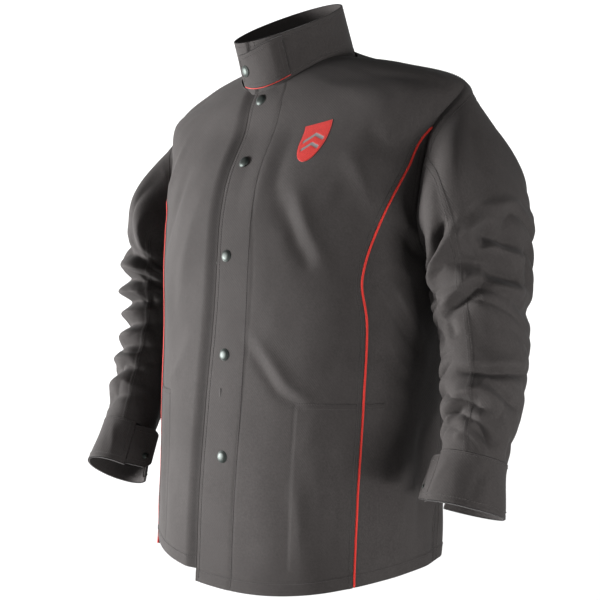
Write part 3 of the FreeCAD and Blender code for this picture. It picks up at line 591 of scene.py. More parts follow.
def build_cloth(name, surface, u, v, relief, thickness, material, sign=1, top=1.0, **kept):
    """Cloth piece from a surface: u and v are 2-D arrays, relief its outer offset."""
    base = surface(u, v)
    normal = normal_of(surface, u, v, sign, top)
    outer = base + normal * relief[..., None]
    inner = base + normal * (relief - thickness)[..., None]
    return sheet_mesh(name, outer, inner, material, **kept), outer


def span(first, last, count, crowd=0.0):
    """Grid columns between two arrays, closer together near the edges."""
    share = np.linspace(0, 1, count)
    share = share * (1 - crowd) + crowd * (1 - np.cos(np.pi * share)) / 2
    return first[:, None] + (last - first)[:, None] * share[None, :]


STITCHES = {}


def stitch_row(group, points, normals, pitch=3.4, length=2.5, radius=0.34, lift=0.10):
    """Topstitches along a line of points: short rounded threads lying on the cloth."""
    steps = np.linalg.norm(np.diff(points, axis=0), axis=1)
    at = np.concatenate([[0], np.cumsum(steps)])
    starts = np.arange(0.6, at[-1] - length, pitch)
    if len(starts) == 0:
        return

    def along(where, values):
        return np.stack([np.interp(where, at, values[:, k]) for k in range(3)], 1)
    store = STITCHES.setdefault(group, [])
    for a, b in zip(starts, starts + length):
        ends = along(np.array([a, (a + b) / 2, b]), points)
        up = unit(along(np.array([(a + b) / 2]), normals))[0]
        store.append((ends, up, radius, lift))


def stitch_mesh(name, group, material):
    """All stitches of one group as one mesh of small six-sided threads."""
    points, faces = [], []
    for ends, up, radius, lift in STITCHES.get(group, []):
        forward = unit(ends[2] - ends[0])
        sideways = np.cross(forward, up)
        first = len(points)
        rings = [(ends[0], -0.15, 0.55), (ends[0] * 0.7 + ends[1] * 0.3, 0.7, 1.0),
                 (ends[2] * 0.7 + ends[1] * 0.3, 0.7, 1.0), (ends[2], -0.15, 0.55)]
        for centre, rise, swell in rings:
            for k in range(5):
                a = 2 * math.pi * k / 5
                points.append(centre + up * (lift + radius * rise)
                              + (sideways * math.cos(a) + up * math.sin(a)) * radius * swell)
        for r in range(3):
            for k in range(5):
                a, b = first + r * 5 + k, first + r * 5 + (k + 1) % 5
                faces.append((a, b, b + 5, a + 5))
        faces.append(tuple(first + k for k in range(4, -1, -1)))
        faces.append(tuple(first + 15 + k for k in range(5)))
    return add_mesh(name, np.array(points), faces, material) if points else None


def tube_mesh(name, line, radius, normals, material, flat=1.0, sides=10):
    """Soft cord along a line, with rounded ends."""
    tangent = unit(np.gradient(line, axis=0))
    up = unit(normals)
    across = unit(np.cross(tangent, up))
    share = np.linspace(0, 1, len(line))
    size = np.clip(np.minimum(share, 1 - share) * len(line) * 0.7 + 0.35, 0, 1)
    points = []
    for k in range(sides):
        a = 2 * math.pi * k / sides
        points.append(line + (across * math.cos(a) + up * math.sin(a) * flat) * radius * size[:, None])
    points = np.stack(points, 1)
    faces = grid_faces(len(line), sides, 0, True, False)
    faces.append(tuple(range(sides - 1, -1, -1)))
    last = (len(line) - 1) * sides
    faces.append(tuple(range(last, last + sides)))
    return add_mesh(name, points.reshape(-1, 3), faces, material)


def lathe_mesh(name, places, profile, material, sides=36):
    """Turned parts, one at each (point, axis) place."""
    points, faces = [], []
    profile = np.array(profile, float)
    for point, axis in places:
        first = len(points)
        helper = np.array([0.0, 0, 1]) if abs(axis[2]) < 0.8 else np.array([1.0, 0, 0])
        x = unit(np.cross(helper, axis))
        y = np.cross(axis, x)
        for radius, height in profile:
            for k in range(sides):
                a = 2 * math.pi * k / sides
                points.append(point + axis * height + (x * math.cos(a) + y * math.sin(a)) * radius)
        faces += grid_faces(len(profile), sides, first, True, False)
        faces.append(tuple(first + k for k in range(sides - 1, -1, -1)))
        last = first + (len(profile) - 1) * sides
        faces.append(tuple(last + k for k in range(sides)))
    return add_mesh(name, np.array(points), faces, material)


# ================= materials =================

def new_material(name):
    material = bpy.data.materials.new(name)
    material.use_nodes = True
    nodes, links = material.node_tree.nodes, material.node_tree.links
    return material, nodes, links, nodes["Principled BSDF"]


def cloth_material(name, dark, light, roughness=0.86, sheen=0.35, scale=1.0, depth=0.35):
    """Twill cloth: fine diagonal ribs, slubs, and uneven fading."""
    material, nodes, links, shader = new_material(name)
    where = nodes.new("ShaderNodeTexCoord")
    patches = nodes.new("ShaderNodeTexNoise")
    patches.inputs["Scale"].default_value = 7.0
    patches.inputs["Detail"].default_value = 6.0
    patches.inputs["Roughness"].default_value = 0.6
    slubs = nodes.new("ShaderNodeTexNoise")
    slubs.inputs["Scale"].default_value = 420.0 * scale
    slubs.inputs["Detail"].default_value = 3.0
    ribs = nodes.new("ShaderNodeTexWave")
    ribs.wave_type = "BANDS"
    ribs.bands_direction = "DIAGONAL"
    ribs.inputs["Scale"].default_value = 150.0 * scale
    ribs.inputs["Distortion"].default_value = 0.6
    ribs.inputs["Detail"].default_value = 1.0
    for node in (patches, slubs, ribs):
        links.new(where.outputs["Object"], node.inputs["Vector"])
    ramp = nodes.new("ShaderNodeValToRGB")
    ramp.color_ramp.elements[0].position = 0.32
    ramp.color_ramp.elements[0].color = (*dark, 1)
    ramp.color_ramp.elements[1].position = 0.68
    ramp.color_ramp.elements[1].color = (*light, 1)
    links.new(patches.outputs["Fac"], ramp.inputs["Fac"])
    fleck = nodes.new("ShaderNodeMixRGB")
    fleck.blend_type = "OVERLAY"
    fleck.inputs["Fac"].default_value = 0.45
    links.new(ramp.outputs["Color"], fleck.inputs["Color1"])
    links.new(slubs.outputs["Fac"], fleck.inputs["Color2"])
    links.new(fleck.outputs["Color"], shader.inputs["Base Color"])
    weave = nodes.new("ShaderNodeMixRGB")
    weave.inputs["Fac"].default_value = 0.5
    links.new(ribs.outputs["Color"], weave.inputs["Color1"])
    links.new(slubs.outputs["Fac"], weave.inputs["Color2"])
    bump = nodes.new("ShaderNodeBump")
    bump.inputs["Strength"].default_value = depth
    bump.inputs["Distance"].default_value = 0.0005
    links.new(weave.outputs["Color"], bump.inputs["Height"])
    links.new(bump.outputs["Normal"], shader.inputs["Normal"])
    shader.inputs["Roughness"].default_value = roughness
    shader.inputs["Specular IOR Level"].default_value = 0.10
    shader.inputs["Sheen Weight"].default_value = sheen
    shader.inputs["Sheen Roughness"].default_value = 0.45
    return material


def metal_material(name, colour, roughness):
    material, nodes, links, shader = new_material(name)
    where = nodes.new("ShaderNodeTexCoord")
    wear = nodes.new("ShaderNodeTexNoise")
    wear.inputs["Scale"].default_value = 900.0
    wear.inputs["Detail"].default_value = 4.0
    links.new(where.outputs["Object"], wear.inputs["Vector"])
    ramp = nodes.new("ShaderNodeValToRGB")
    ramp.color_ramp.elements[0].position = 0.35
    ramp.color_ramp.elements[0].color = (*[c * 0.75 for c in colour], 1)
    ramp.color_ramp.elements[1].position = 0.75
    ramp.color_ramp.elements[1].color = (*[min(c * 1.25, 1) for c in colour], 1)
    links.new(wear.outputs["Fac"], ramp.inputs["Fac"])
    links.new(ramp.outputs["Color"], shader.inputs["Base Color"])
    bump = nodes.new("ShaderNodeBump")
    bump.inputs["Strength"].default_value = 0.12
    bump.inputs["Distance"].default_value = 0.0002
    links.new(wear.outputs["Fac"], bump.inputs["Height"])
    links.new(bump.outputs["Normal"], shader.inputs["Normal"])
    shader.inputs["Metallic"].default_value = 0.9
    shader.inputs["Roughness"].default_value = roughness
    return material


SHELL = cloth_material("shell_cloth", (0.0150, 0.0132, 0.0127), (0.0215, 0.0193, 0.0187), 0.86, 0.015)
INNER = cloth_material("inner_cloth", (0.015, 0.0135, 0.013), (0.021, 0.019, 0.0185), 0.92, 0.02)
RED = cloth_material("red_piping", (0.20, 0.009, 0.006), (0.28, 0.014, 0.010), 0.7, 0.1, 2.0, 0.3)
EMBLEM_RED = cloth_material("red_thread", (0.16, 0.006, 0.005), (0.24, 0.012, 0.009), 0.6, 0.1, 1.6, 0.5)
LABEL = cloth_material("label_cloth", (0.60, 0.58, 0.54), (0.72, 0.70, 0.66), 0.8, 0.2, 1.5, 0.3)
THREAD = cloth_material("thread", (0.018, 0.016, 0.0155), (0.030, 0.027, 0.026), 0.62, 0.05, 3.0, 0.3)
SNAP = metal_material("snap_metal", (0.020, 0.024, 0.022), 0.5)


def fold_blend(piece):
    """Bakes the piece's placement into its mesh; the cloth is not bent across the fold line between the torso and
    the front that opens.
    """
    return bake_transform(piece)


def shoulder_blend(piece):
    """Bakes the piece's placement into its mesh; the cloth is not bent where the sleeve leaves the armhole."""
    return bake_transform(piece)


def elbow_blend(piece):
    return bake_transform(piece)


# ================= front, sides and back =================

def princess_angle(side, t):
    return through(PRINCESS[side], t)[..., 0]


def underlap(angle, v, surface=torso, edge=None, amount=UNDERLAP, blend=UNDERLAP_BLEND):
    over = through(LEFT_EDGE, v)[..., 0] if edge is None else edge
    return -amount * ease((surface(angle, v)[..., 0] - (over - blend)) / (blend - 4))


def front_edge(side, t):
    if side > 0:
        return angle_at_x(torso, t, through(LEFT_EDGE, t)[..., 0])
    return angle_at_x(torso, t, RIGHT_EDGE * (1 - 0.3 * t))


def hem_relief(z_above):
    """Hem folded up and stitched, by height above the edge."""
    return (0.55 * ease((17.5 - z_above) / 2.0) - 0.35 * np.exp(-((z_above - 15.0) / 0.8) ** 2)
            - 0.5 * np.exp(-((z_above - 17.8) / 1.2) ** 2))


def pocket_relief(angle, z):
    """Stitch lines of the inner pocket, pressed into the front from behind."""
    a = np.abs(angle)
    first, last = POCKET_SIDES
    inside = ease((a - first) / 0.4 + 0.5) * ease((last - a) / 0.4 + 0.5)
    tall = ease((z - POCKET_LOW) / 2) * ease((POCKET_HIGH - z) / 2 + 0.5)
    line = np.exp(-((z - POCKET_HIGH) / 1.6) ** 2) * inside
    sides = (np.exp(-((a - first) * MM_PER_DEGREE / 1.5) ** 2)
             + np.exp(-((a - last) * MM_PER_DEGREE / 1.5) ** 2)) * tall
    return -0.8 * line - 0.6 * sides + 0.7 * inside * tall * ease((POCKET_HIGH - z) / 6)


def front_relief(side):
    def relief(angle, t):
        point = torso(angle, t)
        edge = front_edge(side, t[:, 0])[:, None]
        from_edge = np.abs(angle - edge) * per_degree(torso, angle, t)
        z_hem = torso(angle, np.full_like(t, RIGHT_HEM_RISE if side < 0 else 0.0))[..., 2]
        above = point[..., 2] - z_hem
        total = torso_relief(angle, t) + hem_relief(above) + pocket_relief(angle, point[..., 2])
        seam = (princess_angle(side, t) - np.abs(angle)) * per_degree(torso, angle, t)
        below = ease((T_PRINCESS_END - 0.004 - t) / 0.01)
        total += below * (0.8 * ease((9 - seam) / 2) * ease((seam - 0.4) / 1.5) - 0.9 * np.exp(-(seam / 1.6) ** 2)
                          - 0.35 * np.exp(-((seam - 7.2) / 0.7) ** 2))
        hole = np.where(t > T_SHOULDER, 90.0, np.where(t > T_ARMPIT, through(ARMHOLE, t)[..., 0], 90.0))
        to_hole = (hole - np.abs(angle)) * per_degree(torso, angle, t)
        near = ease((t - T_PRINCESS_END + 0.004) / 0.01)
        total += near * (-0.7 * np.exp(-(to_hole / 1.4) ** 2) - 0.35 * np.exp(-((to_hole - 6.5) / 0.8) ** 2))
        neck = (1.0 - t) * 95.0
        total += -0.6 * np.exp(-(neck / 2.0) ** 2)
        if side > 0:
            total += (-0.4 * np.exp(-((from_edge - 6.0) / 0.8) ** 2)
                      - 0.55 * np.exp(-((from_edge - FACING_WIDTH) / 0.9) ** 2)
                      + 0.5 * ease((FACING_WIDTH - from_edge) / 3))
        else:
            total = total * ease((from_edge - 2) / 45) + underlap(angle, t)
        return total
    return relief


def sweep(stretches, counts):
    """Levels of v with more rows near the corners of an outline."""
    levels = [stretches[0]]
    for start, end, rows in zip(stretches, stretches[1:], counts):
        share = np.arange(1, rows + 1) / rows
        levels += list(start + (end - start) * (0.6 * share + 0.4 * (1 - np.cos(np.pi * share)) / 2))
    return np.array(levels)


def front(side, name):
    """Front from its edge to the princess seam, armhole and shoulder."""
    low = 0.0 if side > 0 else RIGHT_HEM_RISE
    t = sweep((low, 0.02, T_PRINCESS_END, T_SHOULDER, TORSO_TOP), (10, 264, 30, 52))
    edge = front_edge(side, t)
    hole = np.where(t > T_SHOULDER, 90.0, through(ARMHOLE, np.maximum(t, T_ARMPIT))[..., 0])
    seam = np.where(t > T_PRINCESS_END, hole, princess_angle(side, t) - 0.9 / per_degree(torso, princess_angle(side, t), t))
    u = span(edge, side * seam, 96 if side > 0 else 108, 0.3)
    v = np.repeat(t[:, None], u.shape[1], 1)
    relief = front_relief(side)(u, v)
    piece, outer = build_cloth(name + "_front", torso, u, v, relief, CLOTH, SHELL, flip=side < 0)
    fold_blend(piece)
    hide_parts(name + "_front_flap", name + "_front_panel")
    declare(piece, outer)
    normal = normal_of(torso, u, v)
    group = name + "_front"
    columns = np.arange(u.shape[1])

    def row_at(distance, first, last, from_seam=False):
        """Stitches at a distance from the front edge or from the princess seam."""
        keep = (v[:, 0] >= first) & (v[:, 0] <= last)
        limit = side * princess_angle(side, v[:, 0]) if from_seam else edge
        shift = distance / per_degree(torso, limit, v[:, 0]) * (-side if from_seam else side)
        place = limit + shift
        index = np.array([np.interp(p, *(u[j], columns) if side > 0 else (u[j][::-1], columns[::-1]))
                          for j, p in enumerate(place)])
        low_i = np.clip(np.floor(index).astype(int), 0, u.shape[1] - 2)
        x = (index - low_i)[:, None]
        j = np.arange(len(place))
        line = outer[j, low_i] * (1 - x) + outer[j, low_i + 1] * x
        stitch_row(group, line[keep], normal[j, low_i][keep])

    row_at(6.0, low + 0.004, TORSO_TOP - 0.002)
    if side > 0:
        row_at(FACING_WIDTH, low + 0.004, 0.93)
    row_at(7.2, low + 0.004, 0.76, True)
    row_at(2.6, low + 0.004, 0.77, True)
    heights = outer[..., 2]
    hem_z = outer[0, :, 2]
    for above in (15.0,):
        line = [[np.interp(hem_z[i] + above, heights[:, i], outer[:, i, k]) for k in range(3)] for i in columns]
        stitch_row(group, np.array(line), normal[8])
    angles = np.linspace(POCKET_SIDES[0], POCKET_SIDES[1], 60) * side
    pocket_t = height_to_share(angles, POCKET_HIGH - 1.2)
    for drop in (0.0, 6.5):
        shares = pocket_t - drop / 860
        stitch_row(group, torso(angles, shares) + normal_of(torso, angles, shares)
                   * (torso_relief(angles, shares) + 0.55)[:, None], normal_of(torso, angles, shares))
    return piece


def side_panel(side, name):
    t = sweep((0.0, 0.02, T_ARMPIT, T_ARMPIT + 0.03, T_PRINCESS_END - 0.003), (10, 190, 16, 66))
    seam = princess_angle(side, t) + 0.9 / per_degree(torso, princess_angle(side, t), t)
    hole = through(ARMHOLE, np.maximum(t, T_ARMPIT))[..., 0]
    back = np.where(t > T_ARMPIT, hole, through(SIDE_SEAM, t)[..., 0])
    back = np.maximum(back, seam + 0.1)
    u = span(seam, back, 54, 0.3) * side
    v = np.repeat(t[:, None], u.shape[1], 1)
    z = torso(u, v)[..., 2]
    z_hem = torso(u, np.zeros_like(v))[..., 2]
    from_seam = (np.abs(u) - princess_angle(side, v)) * per_degree(torso, u, v)
    to_back = (back[:, None] - np.abs(u)) * per_degree(torso, u, v)
    relief = (torso_relief(u, v) + hem_relief(z - z_hem) - 0.9 * np.exp(-(from_seam / 1.6) ** 2)
              - 0.7 * np.exp(-(to_back / 1.4) ** 2) - 0.35 * np.exp(-((to_back - 6.5) / 0.8) ** 2)
              + pocket_relief(u, z) * ease((66 - np.abs(u)) / 0.4))
    piece, outer = build_cloth(name + "_side", torso, u, v, relief, CLOTH, SHELL, flip=side < 0)
    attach(piece, "torso")
    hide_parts(name + "_side_panel")
    declare(piece, outer)
    normal = normal_of(torso, u, v)
    heights = outer[..., 2]
    line = [[np.interp(outer[0, i, 2] + 15.0, heights[:, i], outer[:, i, k]) for k in range(3)]
            for i in range(u.shape[1])]
    stitch_row(name + "_side", np.array(line), normal[8])
    below = t <= T_ARMPIT
    columns = np.arange(u.shape[1])
    for distance in (1.8, 6.5):
        place = np.abs(back) - distance / per_degree(torso, back, t)
        index = np.array([np.interp(p, np.abs(u[j]), columns) for j, p in enumerate(place)])
        low_i = np.clip(np.floor(index).astype(int), 0, u.shape[1] - 2)
        x = (index - low_i)[:, None]
        j = np.arange(len(place))
        row = outer[j, low_i] * (1 - x) + outer[j, low_i + 1] * x
        stitch_row(name + "_side", row[below], normal[j, low_i][below])


def back():
    t = sweep((0.0, 0.02, T_ARMPIT, T_ARMPIT + 0.03, T_SHOULDER, TORSO_TOP), (10, 170, 14, 76, 46))
    left = np.where(t > T_SHOULDER, 90.0,
                    np.where(t > T_ARMPIT, through(ARMHOLE, np.maximum(t, T_ARMPIT))[..., 1],
                             through(SIDE_SEAM, t)[..., 0]))
    u = span(left, 360 - left, 156, 0.1)
    v = np.repeat(t[:, None], u.shape[1], 1)
    z = torso(u, v)[..., 2]
    above = z - torso(u, np.zeros_like(v))[..., 2]
    off = np.minimum(u - left[:, None], 360 - left[:, None] - u) * per_degree(torso, u, v)
    relief = (torso_relief(u, v) + hem_relief(above) - 0.7 * np.exp(-(off / 1.4) ** 2)
              - 0.6 * np.exp(-((1 - v) * 95 / 2.0) ** 2))
    piece, outer = build_cloth("back", torso, u, v, relief, CLOTH, SHELL)
    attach(piece, "torso")
    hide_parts("back_panel")
    declare(piece, outer)
    normal = normal_of(torso, u, v)
    heights = outer[..., 2]
    line = [[np.interp(outer[0, i, 2] + 15.0, heights[:, i], outer[:, i, k]) for k in range(3)]
            for i in range(u.shape[1])]
    stitch_row("back", np.array(line), normal[8])
    for column in (3, u.shape[1] - 4):
        stitch_row("back", outer[:, column], normal[:, column])


def princess_piping(side, name):
    t = np.linspace(0.0, T_PRINCESS_END - 0.004, 320)
    angle = side * princess_angle(side, t)
    normal = normal_of(torso, angle, t)
    wave = 0.12 * noise_field(31, t * 860, t * 0, 9, 10)
    line = torso(angle, t) + normal * (torso_relief(angle, t) + 0.95 + wave)[:, None]
    piece = tube_mesh(name + "_piping", line, 1.6, normal, RED, 0.9)
    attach(piece, "torso")
    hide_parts(name + "_front_piping")


def facing(side, name):
    t = sweep((0.004 if side > 0 else RIGHT_HEM_RISE + 0.004, TORSO_TOP), (230,))
    edge = front_edge(side, t)
    width = FACING_WIDTH / per_degree(torso, edge, t)
    inner_edge = side * fold_angles(torso, t, -3.0)
    stop = edge + side * width
    stop = np.minimum(stop, inner_edge) if side > 0 else np.maximum(stop, inner_edge)
    u = span(edge + side * 0.15, stop, 34, 0.2)
    v = np.repeat(t[:, None], u.shape[1], 1)
    relief = front_relief(side)(np.concatenate([edge[:, None], u], 1), np.concatenate([v[:, :1], v], 1))[:, 1:]
    depth = relief - CLOTH - 0.25
    piece, outer = build_cloth(name + "_facing", torso, u, v, depth, 1.0, INNER, flip=side < 0)
    fold_blend(piece)
    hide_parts(name + "_front_facing")
    declare(piece, outer)


def fold_angles(surface, v, distance):
    def away(a):
        return (surface(a, v) - FOLD_TOP) @ FOLD_NORMAL - distance
    return solve(away, np.full(np.shape(v), 2.0), np.full(np.shape(v), 80.0))


def inner_pocket(side, name):
    first, last = POCKET_SIDES
    middle = np.array(45.0)
    low, high = float(height_to_share(middle, POCKET_LOW)), float(height_to_share(middle, POCKET_HIGH))
    t = np.linspace(low, high, 70)
    u = np.repeat(np.linspace(first, last, 60)[None, :], len(t), 0) * side
    v = np.repeat(t[:, None], u.shape[1], 1)
    across = np.sin(np.pi * (np.abs(u) - first) / (last - first))
    up = np.sin(np.pi / 2 * (v - low) / (high - low))
    bulge = np.maximum(across, 0) ** 0.7 * np.maximum(up, 0) ** 0.7
    x, z = u * MM_PER_DEGREE, v * 860
    wrinkle = noise_field(41 + side, x + z * 0.3, z, 22, 40) * 1.4 * bulge
    depth = torso_relief(u, v) * (1 - bulge * 0.7) - CLOTH - 0.4 - 12.5 * bulge + wrinkle
    piece, outer = build_cloth(name + "_pocket", torso, u, v, depth, 0.9, INNER, flip=side < 0)
    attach(piece, "torso")
    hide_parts(name + "_inner_pocket")
    declare(piece, outer)


# ================= collar =================

def collar_half(side, name):
    """Half of the stand-up collar, from the front edge round to the middle of the back."""
    h = sweep((-COLLAR_TURN, 0.0, 1.0), (4, 34))
    edge = angle_at_x(collar, np.maximum(h, 0.0), COLLAR_LEFT_EDGE if side > 0 else COLLAR_RIGHT_EDGE)
    u = span(edge * side, np.full(h.shape, 180.0), 190, 0.0) * side
    v = np.repeat(h[:, None], u.shape[1], 1)
    height = np.linalg.norm(collar(u, np.ones_like(v)) - collar(u, np.zeros_like(v)), axis=-1)
    down, up = v * height, (1 - v) * height
    from_edge = (np.abs(u) * 1.0 - (edge * side)[:, None]) * per_degree(collar, u, v)
    turned = (u + 180) % 360 - 180
    x = turned * 1.4
    waves = noise_field(51, np.abs(x) * side, down * 0.6, 34, 40) * 0.9
    waves *= ease(from_edge / 30) * ease((180 - np.abs(u)) / 20)
    waves += stroke(turned * 1.4, down, [(60, 12), (80, 34), (96, 52)], 8, 1.6, 0.4)
    waves += stroke(turned * 1.4, down, [(-60, 10), (-84, 30), (-100, 50)], 8, 1.4, 0.4)
    relief = (waves - 0.4 * np.exp(-((up - 6.0) / 0.9) ** 2) - 0.35 * np.exp(-((from_edge - 6.0) / 0.9) ** 2)
              - 0.5 * np.exp(-(down / 2.0) ** 2) - 0.4 * np.exp(-((down - 5.0) / 0.9) ** 2))
    if side < 0:
        under = underlap(u, v, collar, COLLAR_LEFT_EDGE, COLLAR_UNDERLAP, 12)
        relief = relief * ease(from_edge / 20) + under * (np.abs(u) < 90)
    base = collar(u, v)
    normal = normal_of(collar, u, v)
    outer = base + normal * relief[..., None]
    inner = base + normal * (relief - STACK)[..., None]
    du = np.gradient(outer, axis=1)
    dv = np.gradient(outer, axis=0)
    shade = unit(np.cross(du, dv)) * side
    piece = sheet_mesh("collar_" + name, outer, inner, SHELL, flip=side < 0, normals=shade)
    fold_blend(piece)
    nodes = ["collar_%s_end" % name] + (["collar", "collar_lining"] if side > 0 else [])
    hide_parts(*nodes)
    declare(piece, outer)
    group, last = "collar_" + name, u.shape[1] - 2
    for share_from_top in (6.0,):
        line = [[np.interp(height[0, i] - share_from_top, down[:, i], outer[:, i, k]) for k in range(3)]
                for i in range(3, last)]
        stitch_row(group, np.array(line), normal[-8, 3:last])
    line = [[np.interp(5.0, down[:, i], outer[:, i, k]) for k in range(3)] for i in range(3, last)]
    stitch_row(group, np.array(line), normal[8, 3:last])
    line = []
    for j in range(len(h)):
        line.append([np.interp(6.0, from_edge[j], outer[j, :, k]) for k in range(3)])
    stitch_row(group, np.array(line[5:]), normal[5:, 4])


def tab_surface(a, v):
    taper = 0.95 - 0.20 * ease((TAB_SEWN - a) / (TAB_SEWN - TAB_END))
    return collar(a, 0.07 + (taper - 0.07) * v)


def collar_tab():
    v_line = np.linspace(0, 1, 36)
    # corners of the free end are clipped round
    clip = 3.2 * (np.exp(-(v_line / 0.10) ** 2) + np.exp(-((1 - v_line) / 0.10) ** 2))
    u = span(np.full(v_line.shape, TAB_END) + clip, np.full(v_line.shape, TAB_SEWN), 60, 0.2)
    v = np.repeat(v_line[:, None], u.shape[1], 1)
    lift = 0.5 + (TAB_LIFT - 0.5) * ease((TAB_SEWN - u) / 14)
    rim = np.minimum(np.minimum(v, 1 - v) * 40, (u - TAB_END) * 1.45)
    x, z = u * 1.45, v * 40
    soft = 0.5 * noise_field(61, x, z, 16, 14) - 0.4 * np.exp(-((rim - 4.5) / 0.8) ** 2)
    relief = lift + TAB_CLOTH + soft
    piece, outer = build_cloth("collar_tab_cloth", tab_surface, u, v, relief, TAB_CLOTH, SHELL)
    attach(piece, "collar_tab")
    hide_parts("collar_tab")
    declare(piece, outer)
    normal = normal_of(tab_surface, u, v)
    for column in (-3,):
        stitch_row("collar_tab", outer[2:-2, column], normal[2:-2, column])
    stitch_row("collar_tab", outer[2:-2, -7], normal[2:-2, -7])
    for j in (4, -5):
        stitch_row("collar_tab", outer[j, 6:-8], normal[j, 6:-8])
    stitch_row("collar_tab", outer[5:-5, 5], normal[5:-5, 5])
    angle = np.linspace(TAB_END + 1.5, TAB_SEWN - 0.5, 90)
    low = np.full(angle.shape, 0.060)
    normal_low = normal_of(collar, angle, low)
    lift_low = 0.5 + (TAB_LIFT - 0.5) * ease((TAB_SEWN - angle) / 14) + 0.2
    line = collar(angle, low) + normal_low * lift_low[:, None]
    pipe = tube_mesh("collar_tab_cord", line, 0.9, normal_low, RED, 0.9)
    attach(pipe, "collar_tab")
    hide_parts("collar_tab_piping")


# ================= sleeves =================

def armhole_turn(side, phi, outer):
    """Rows of the sleeve's seam allowance, turned in under the edge of the armhole."""
    angle, t = armhole_place(phi)
    mirror = np.array([side, 1, 1])
    edge, out = torso(angle, t) * mirror, normal_of(torso, angle, t) * mirror
    along = outer[6] - edge
    along = unit(along - out * (along * out).sum(-1, keepdims=True))
    rows = np.stack([edge - out * 2.6 - along * 7.0, edge - out * 2.2 - along * 3.0])
    return rows, rows - out * 1.0, np.stack([out, out])


def sleeve(side, name):
    """Upper sleeve and forearm, one surface handed over above the elbow."""
    surface, folds = arm(side), arm_relief(side)
    columns = 176
    phi_line = np.arange(columns) * 360.0 / columns + SEAM_FRONT[side]
    for part, start, end, rows in (("upper_sleeve", 0.0, SPLIT, 118), ("forearm", SPLIT, CUFF, 132)):
        step = (end - start) / rows
        s_line = start + np.arange(-1, rows + 2) * step
        s_line = np.clip(s_line, 0.0, 8.0)
        u = np.repeat(phi_line[None, :], len(s_line), 0)
        v = np.repeat(s_line[:, None], columns, 1)
        relief = folds(u, v)
        for seam, lap in ((SEAM_FRONT[side], 1), (SEAM_BACK, -1)):
            off = ((u - seam + 180) % 360 - 180) * 0.98
            live = ease(v / 0.25)
            relief = relief + seam_relief(off, lap) * live
        down = v * MM_PER_RING
        relief = relief + 1.1 * ease((9 - down) / 3) - 0.9 * np.exp(-(down / 1.8) ** 2) * (part == "upper_sleeve")
        relief = relief - 0.35 * np.exp(-((down - 7) / 0.8) ** 2)
        base = surface(u, v)
        normal = normal_of(surface, u, v, side, 8.0)
        outer = base + normal * relief[..., None]
        inner = base + normal * (relief - CLOTH)[..., None]
        wide = np.concatenate([outer[:, -1:], outer, outer[:, :1]], 1)
        du = np.gradient(wide, axis=1)[:, 1:-1]
        dv = np.gradient(outer, axis=0)
        shade = unit(np.cross(du, dv)) * side
        outer, inner, shade = outer[1:-1], inner[1:-1], shade[1:-1]
        grids = (outer, inner, shade)
        if part == "upper_sleeve":
            turned = armhole_turn(side, phi_line, outer)
            grids = [np.concatenate([extra, grid]) for extra, grid in zip(turned, grids)]
        piece = sheet_mesh("%s_%s" % (name, part), *grids[:2], SHELL, closed=True, flip=side < 0,
                           normals=grids[2])
        if part == "upper_sleeve":
            shoulder_blend(piece)
            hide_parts(name + "_sleeve_top", name + "_sleeve_under")
            stitch_row(name + "_upper", outer[7, :], normal[8, :])
        else:
            elbow_blend(piece)
            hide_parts(name + "_forearm_top", name + "_forearm_under")
        declare(piece, np.concatenate([outer, outer[:, :1]], 1))
        group = name + ("_upper" if part == "upper_sleeve" else "_fore")
        for seam, lap in ((SEAM_FRONT[side], 1), (SEAM_BACK, -1)):
            for distance in (1.6, 7.0):
                place = (seam + lap * distance / 0.98 - SEAM_FRONT[side]) / 360 * columns
                low_i = int(math.floor(place)) % columns
                x = place - math.floor(place)
                line = outer[:, low_i] * (1 - x) + outer[:, (low_i + 1) % columns] * x
                skip = 4 if part == "upper_sleeve" else 0
                stitch_row(group, line[skip:], normal[1:-1][skip:, low_i])


def cuff_frame(side):
    """Corner, height, direction along the hinge, to the free end, face normal and round."""
    surface = arm(side)
    near = surface(CUFF_HINGE, CUFF + 0.06)
    far = surface(CUFF_HINGE, 8 - 0.04)
    along = unit(far - near)
    round_ = surface(CUFF_HINGE + 1, CUFF + 0.5) - surface(CUFF_HINGE - 1, CUFF + 0.5)
    round_ = unit(round_ - along * (round_ @ along))
    normal = unit(np.cross(round_, along))
    if normal @ normal_of(surface, np.array(CUFF_HINGE), np.array(CUFF + 0.5), side, 8.0) < 0:
        normal = -normal
    flare = math.radians(CUFF_FLARE)
    reach = round_ * math.cos(flare) + normal * math.sin(flare)
    face = normal * math.cos(flare) - round_ * math.sin(flare)
    return near, np.linalg.norm(far - near), along, reach, face, round_


